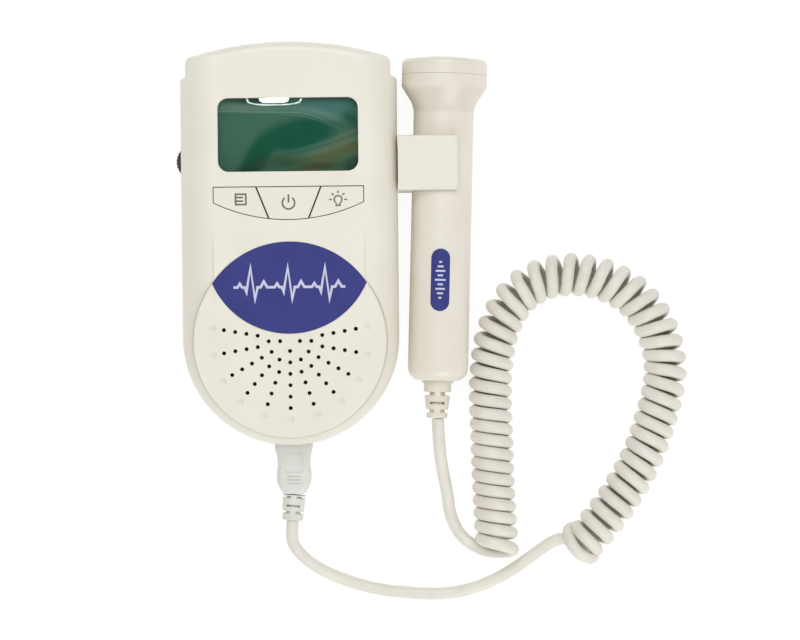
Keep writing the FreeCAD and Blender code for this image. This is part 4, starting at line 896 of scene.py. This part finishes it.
x, y = 16.5, 14.55
neck = [(x - 0.62, y - 1.1), (x - 0.62, y - 1.95), (x + 0.62, y - 1.95), (x + 0.62, y - 1.1)]
lamp_strokes = [round_stroke(x, y, 1.28, -52, 232), (neck, False)]
for degrees in (0, 45, 90, 135, 180):
    ray_x, ray_y = math.cos(math.radians(degrees)), math.sin(math.radians(degrees))
    lamp_strokes.append(([(x + ray_x * r, y + ray_y * r) for r in (2.05, 3.0)], False))
printed("lamp_symbol", lamp_strokes, 0.5, on_keys, "light_key", grey_ink)

# %% [markdown]
# ## The label and the pill
# Both are blue-violet printed plates with a satin film. On the label runs a plain trace of three
# heartbeats, and on the pill a row of sound bars stands for the probe's beam.

# %% Label and pulse trace
film = finish("printed film", (60, 64, 135), (56, 60, 129), 0.5, grain_mm=0.3, drift_mm=14.0, depth=0.004,
              specular=0.2)
wear(film, "front_label", "probe_label")
pale_ink = finish("pale ink", (206, 208, 232), (198, 200, 226), 0.5, grain_mm=0.1, drift_mm=2.0, depth=0.002)
LABEL_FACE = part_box("front_label")[1].z / MM
LABEL_MIDDLE = -14.4
# One heartbeat, along and up
BEAT = [(0.0, 0.0), (1.3, 0.0), (2.1, 1.2), (2.9, 0.0), (3.7, 0.0), (4.3, -1.5), (5.7, 6.6), (7.1, -4.0),
        (8.0, 0.0), (9.0, 0.0), (10.1, 1.9), (11.2, 0.0)]
BEAT_STEP = 12.4
trace = []
for beats in (-1.5, -0.5, 0.5):
    trace += [(beats * BEAT_STEP + u, LABEL_MIDDLE + v) for u, v in BEAT]
trace.append((1.5 * BEAT_STEP, LABEL_MIDDLE))
printed("pulse_trace", [(trace, False)], 0.85, on_level(LABEL_FACE), "main_unit", pale_ink)

# %% [markdown]
# ### Sound bars
# The pill is bent round the probe's barrel. A second laying function goes round the barrel's axis, and
# each bar has seven points, so that it follows the bend.

# %% Sound bars
PROBE_LOW = Vector((49.183, -46.46, 16.0))
PROBE_TILT = math.radians(1.89)
PROBE_WAY = Vector((math.sin(PROBE_TILT), math.cos(PROBE_TILT), 0.0))
PROBE_SIDE = Vector((math.cos(PROBE_TILT), -math.sin(PROBE_TILT), 0.0))
PILL_RADIUS = 10.33
PILL_MIDDLE = 34.0


def on_barrel(u, v, h):
    """Lays strips round the probe's barrel: u round it, v along it from the pill's middle."""
    turn = u / PILL_RADIUS
    out = PROBE_SIDE * math.sin(turn) + up * math.cos(turn)
    return (PROBE_LOW + PROBE_WAY * (PILL_MIDDLE + v) + out * (PILL_RADIUS + h)) * MM


BAR_LENGTHS = (1.0, 2.0, 3.2, 1.8, 3.6, 1.8, 3.2, 2.0, 1.0)
BAR_PITCH = 1.5
bars = []
for k, length in enumerate(BAR_LENGTHS):
    v = (k - (len(BAR_LENGTHS) - 1) / 2) * BAR_PITCH
    bars.append(([(length * (j / 6 - 0.5), v) for j in range(7)], False))
printed("sound_bars", bars, 0.62, on_barrel, "probe", pale_ink)

# %% [markdown]
# ## Rows of small parts
# Chips stand on rows of legs, and behind the sound holes is a woven cloth that keeps dust out. Both are
# many copies of one small block in a straight row, which is what Geometry Nodes is for: a line of points,
# a block on each, and, for the cloth, a length that follows a circle. The result is kept as a plain mesh.

# %% Row tree
ROW_INPUTS = [("Geometry", "Geometry"), ("Count", "Int"), ("Start", "Vector"), ("Step", "Vector"),
              ("Size", "Vector"), ("Circle", "Float"), ("Surface", "Material")]
rows, asked, row_out = group("row of blocks", ROW_INPUTS, [("Geometry", "Geometry")], "GeometryNodeTree")
line = new_node(rows, "GeometryNodeMeshLine", Count=asked["Count"], Start_Location=asked["Start"],
                Offset=asked["Step"])
block = new_node(rows, "GeometryNodeMeshCube", Size=asked["Size"])
# How far each point is from the middle of the row, as a share of the circle's radius
number = rows.nodes.new("GeometryNodeInputIndex").outputs[0]
middle = math_node(rows, "DIVIDE", math_node(rows, "SUBTRACT", asked["Count"], 1.0), 2.0)
steps = math_node(rows, "SUBTRACT", number, middle)
from_middle = math_node(rows, "MULTIPLY", steps, vector_node(rows, "LENGTH", asked["Step"]))
share = math_node(rows, "DIVIDE", from_middle, math_node(rows, "MAXIMUM", asked["Circle"], 0.000001))
left = math_node(rows, "SUBTRACT", 1.0, math_node(rows, "MULTIPLY", share, share))
chord = math_node(rows, "SQRT", math_node(rows, "MAXIMUM", left, 0.01))
# The blocks keep their length in a plain row, and have the chord's in a round one
round_row = math_node(rows, "GREATER_THAN", asked["Circle"], 0.0)
change = math_node(rows, "MULTIPLY", round_row, math_node(rows, "SUBTRACT", chord, 1.0))
scale = new_node(rows, "ShaderNodeCombineXYZ", X=math_node(rows, "ADD", 1.0, change), Y=1.0, Z=1.0)
copies = new_node(rows, "GeometryNodeInstanceOnPoints", Points=line.outputs["Mesh"],
                  Instance=block.outputs["Mesh"], Scale=scale.outputs[0])
real = new_node(rows, "GeometryNodeRealizeInstances", Geometry=copies.outputs["Instances"])
dressed = new_node(rows, "GeometryNodeSetMaterial", Geometry=real.outputs["Geometry"],
                   Material=asked["Surface"])
join(rows, dressed.outputs["Geometry"], row_out["Geometry"])
print("row tree nodes:", len(rows.nodes))

# %% [markdown]
# ### A row as a mesh
# A throwaway object wears the tree as a modifier, whose inputs are set by their sockets' identifiers. The
# evaluated mesh is read off and turned about the middle of the row, and many rows become one piece.

# %% Row maker
def add_row(mesh, count, start, step, size, surface, circle=0.0, turn=0.0):
    """Evaluates one row, turns it about its own middle and adds it to a bmesh."""
    maker = put("row", bpy.data.meshes.new("row"))
    modifier = maker.modifiers.new("row", "NODES")
    modifier.node_group = rows
    values = {"Count": count, "Start": mm(*start), "Step": mm(*step), "Size": mm(*size),
              "Circle": circle * MM, "Surface": surface}
    for item in rows.interface.items_tree:
        if item.in_out == "INPUT" and item.name in values:
            modifier[item.identifier] = values[item.name]
    result = plain_mesh(maker)
    middle = mm(*start) + mm(*step) * (count - 1) / 2
    result.transform(Matrix.Translation(middle) @ Matrix.Rotation(turn, 4, "Z") @ Matrix.Translation(-middle))
    mesh.from_mesh(result)
    bpy.data.meshes.remove(result)
    bpy.data.objects.remove(maker)


print("a row asks for:", [name for name, _ in ROW_INPUTS[1:]])

# %% [markdown]
# ### Chip legs
# Each chip has a row of flat tinned legs on either side. The board is seen only while the case is open, so
# plain blocks are enough for them.

# %% Chip legs
solder = finish("tinned legs", (206, 206, 204), (190, 190, 188), 0.3, grain_mm=0.2, drift_mm=1.0, uneven=0.2,
                metal=1.0)
BOARD_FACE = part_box("main_board")[1].z / MM
LEG_HEIGHT = 0.35
LEG_LENGTH = 1.0
LEG_MIDDLE = 0.45  # how far out of the chip the middle of a leg is
LEG_SHARE = 0.4  # of the pitch
legs = bmesh.new()
# Left, right, bottom and top of each chip, pitch of its legs
CHIPS = [(-7.0, 7.0, -3.2, 5.2, 1.27), (10.0, 17.0, -2.5, 3.5, 0.8), (-20.0, -13.0, -1.5, 4.5, 0.8)]
for x_low, x_high, y_low, y_high, pitch in CHIPS:
    count = int((x_high - x_low - 1.0) / pitch) + 1
    first = (x_low + x_high - (count - 1) * pitch) / 2
    for y in (y_low - LEG_MIDDLE, y_high + LEG_MIDDLE):
        add_row(legs, count, (first, y, BOARD_FACE + LEG_HEIGHT / 2), (pitch, 0, 0),
                (pitch * LEG_SHARE, LEG_LENGTH, LEG_HEIGHT), solder)
new_piece("chip_legs", legs, solder, "main_unit")

# %% [markdown]
# ### Speaker cloth
# Two layers of round rows cross at a right angle, one just above the other. A real weave goes over and
# under, which can't be told apart through the small holes.

# %% Speaker cloth
thread = finish("cloth thread", (64, 63, 60), (50, 49, 47), 0.85, grain_mm=0.15, drift_mm=2.0)
CLOTH_RADIUS = 17.0
CLOTH_LEVEL = 29.3
THREAD = 0.16
THREAD_PITCH = 0.42
cloth = bmesh.new()
thread_count = int(2 * CLOTH_RADIUS / THREAD_PITCH) - 1
for way, level in ((0.0, CLOTH_LEVEL - THREAD / 2), (math.pi / 2, CLOTH_LEVEL + THREAD / 2)):
    start = (DISC_MIDDLE[0], DISC_MIDDLE[1] - (thread_count - 1) * THREAD_PITCH / 2, level)
    add_row(cloth, thread_count, start, (0, THREAD_PITCH, 0), (2 * CLOTH_RADIUS, THREAD, THREAD), thread,
            circle=CLOTH_RADIUS, turn=way)
new_piece("speaker_cloth", cloth, thread, "main_unit")

# %% [markdown]
# ## Light
# Product shots of pale plastic are made in a light tent: light comes from everywhere and a little more
# from above. The world gives the even part. Mirrors and the window see it nearly dark, like a dim room,
# because a white sky would lie over the display as a grey veil.

# %% World
world = bpy.data.worlds.new("tent")
world.use_nodes = True
scene.world = world
tree = world.node_tree
TENT_LIGHT = 0.55
TENT_MIRRORED = 0.1  # what mirrors and the window see of it. Behind the object it looks white.
rays = tree.nodes.new("ShaderNodeLightPath").outputs
mirrored = math_node(tree, "MAXIMUM", rays["Is Glossy Ray"], rays["Is Transmission Ray"])
less = math_node(tree, "MULTIPLY", mirrored, TENT_LIGHT - TENT_MIRRORED)
strength = math_node(tree, "MAXIMUM", math_node(tree, "SUBTRACT", TENT_LIGHT, less), rays["Is Camera Ray"])
fill(tree, tree.nodes["Background"], Color=(1.0, 0.99, 0.975, 1.0), Strength=strength)
print("tent light and what mirrors see of it:", TENT_LIGHT, TENT_MIRRORED)

# %% [markdown]
# ### Lamps
# A lamp overhead and one in front, a little to the right, give the forms their shading. Both are large,
# which makes their shadows soft. A third is there only for its reflection.

# %% Lamps
AIM = (30, -20, 10)  # about the middle of the object


def softbox(name, place, width, energy):
    """A square lamp at a place, turned to face the object. Its energy is in watts."""
    data = bpy.data.lights.new(name, "AREA")
    data.shape = "SQUARE"
    data.size = width * MM
    data.energy = energy
    lamp = put(name, data)
    lamp.location = mm(*place)
    lamp.rotation_euler = (mm(*AIM) - mm(*place)).to_track_quat("-Z", "Y").to_euler()
    print(name, "watts:", energy)
    return lamp


overhead = softbox("overhead", (30, 420, 1230), 900, 6.3)
overhead.visible_glossy = overhead.visible_transmission = False
softbox("front fill", (300, -900, 560), 600, 3.3)
# Only reflections see this one. It puts a gleam on the edges that turn away at the top.
gleam = softbox("gleam", (30, 760, 1105), 800, 8.0)
gleam.visible_diffuse = gleam.visible_transmission = False

# %% [markdown]
# ### The lamp in the window
# The window is the glossiest face, and it mirrors the ceiling lamp as a small oval with a ring round
# it. The lamp is a flat shape up by the camera that only gloss and glass can see, so it adds its mirror
# image and nothing else.

# %% Ceiling lamp
LAMP_PLACE = (-45.7, 122.6, 1105.0)
OVAL_POINTS = 64
SQUARENESS = 0.65  # 1 is a true oval, less has fuller corners


def oval(mesh, half_x, half_y):
    """A closed row of corners for a lamp's mesh."""
    corners = []
    for k in range(OVAL_POINTS):
        x, y = math.cos(2 * math.pi * k / OVAL_POINTS), math.sin(2 * math.pi * k / OVAL_POINTS)
        x, y = (math.copysign(abs(v) ** SQUARENESS, v) for v in (x, y))
        corners.append(mesh.verts.new(mm(half_x * x, half_y * y)))
    return corners


def bare_material(name):
    """A material that has only its output. Returns it, its tree and the output's surface."""
    material, tree, shader = start_material(name)
    tree.nodes.remove(shader)
    return material, tree, tree.nodes["Material Output"].inputs["Surface"]


def mirror_lamp(name, build, strength):
    """A flat glowing shape that only gloss and glass see. build fills its mesh."""
    glow, tree, surface = bare_material(name)
    join(tree, new_node(tree, "ShaderNodeEmission", Strength=strength).outputs[0], surface)
    mesh = bmesh.new()
    build(mesh)
    lamp = new_object(name, mesh, glow)
    lamp.location = mm(*LAMP_PLACE)
    lamp.visible_camera = lamp.visible_diffuse = lamp.visible_shadow = False


def ring_faces(mesh):
    outer, inner = oval(mesh, 18.4, 4.5), oval(mesh, 17.3, 3.7)
    for k in range(OVAL_POINTS):
        after = (k + 1) % OVAL_POINTS
        mesh.faces.new((outer[k], outer[after], inner[after], inner[k]))


mirror_lamp("lamp bulb", lambda mesh: mesh.faces.new(oval(mesh, 9.8, 2.9)), 60.0)
mirror_lamp("lamp ring", ring_faces, 11.0)

# %% [markdown]
# ## The table
# The floor is a plain pale sheet. Light that bounces sees it as paper. The camera sees it glow up to
# just under white and take a weak share of the light, so that what is left of the shadow stays soft
# under the lead and the case.

# %% Floor
FLOOR_HALF = 3000.0
FLOOR_LEVEL = -0.05  # so that it doesn't fall together with the back of the case
floor = bmesh.new()
corners = [(-1, -1), (1, -1), (1, 1), (-1, 1)]
floor.faces.new([floor.verts.new(mm(x * FLOOR_HALF, y * FLOOR_HALF, FLOOR_LEVEL)) for x, y in corners])
paper, tree, surface = bare_material("white paper")
# Colour and glow of the sheet, first as light meets it and then as the camera does
looks = []
for tint, strength in ((0.86, 0.86, 0.85, 1.0), 0.25), ((0.14, 0.14, 0.14, 1.0), 0.9):
    sheet = new_node(tree, "ShaderNodeBsdfDiffuse", Color=tint)
    glow = new_node(tree, "ShaderNodeEmission", Strength=strength)
    looks.append(together(tree, "ShaderNodeAddShader", sheet.outputs[0], glow.outputs[0]))
rays = tree.nodes.new("ShaderNodeLightPath").outputs
seen = math_node(tree, "MAXIMUM", rays["Is Camera Ray"], rays["Is Transmission Ray"])
join(tree, together(tree, "ShaderNodeMixShader", seen, *looks), surface)
table = new_object("table", floor, paper)

# %% [markdown]
# ## Colour view
# The standard view shows colours as they were mixed.

# %% Finish
scene.view_settings.view_transform = "Standard"
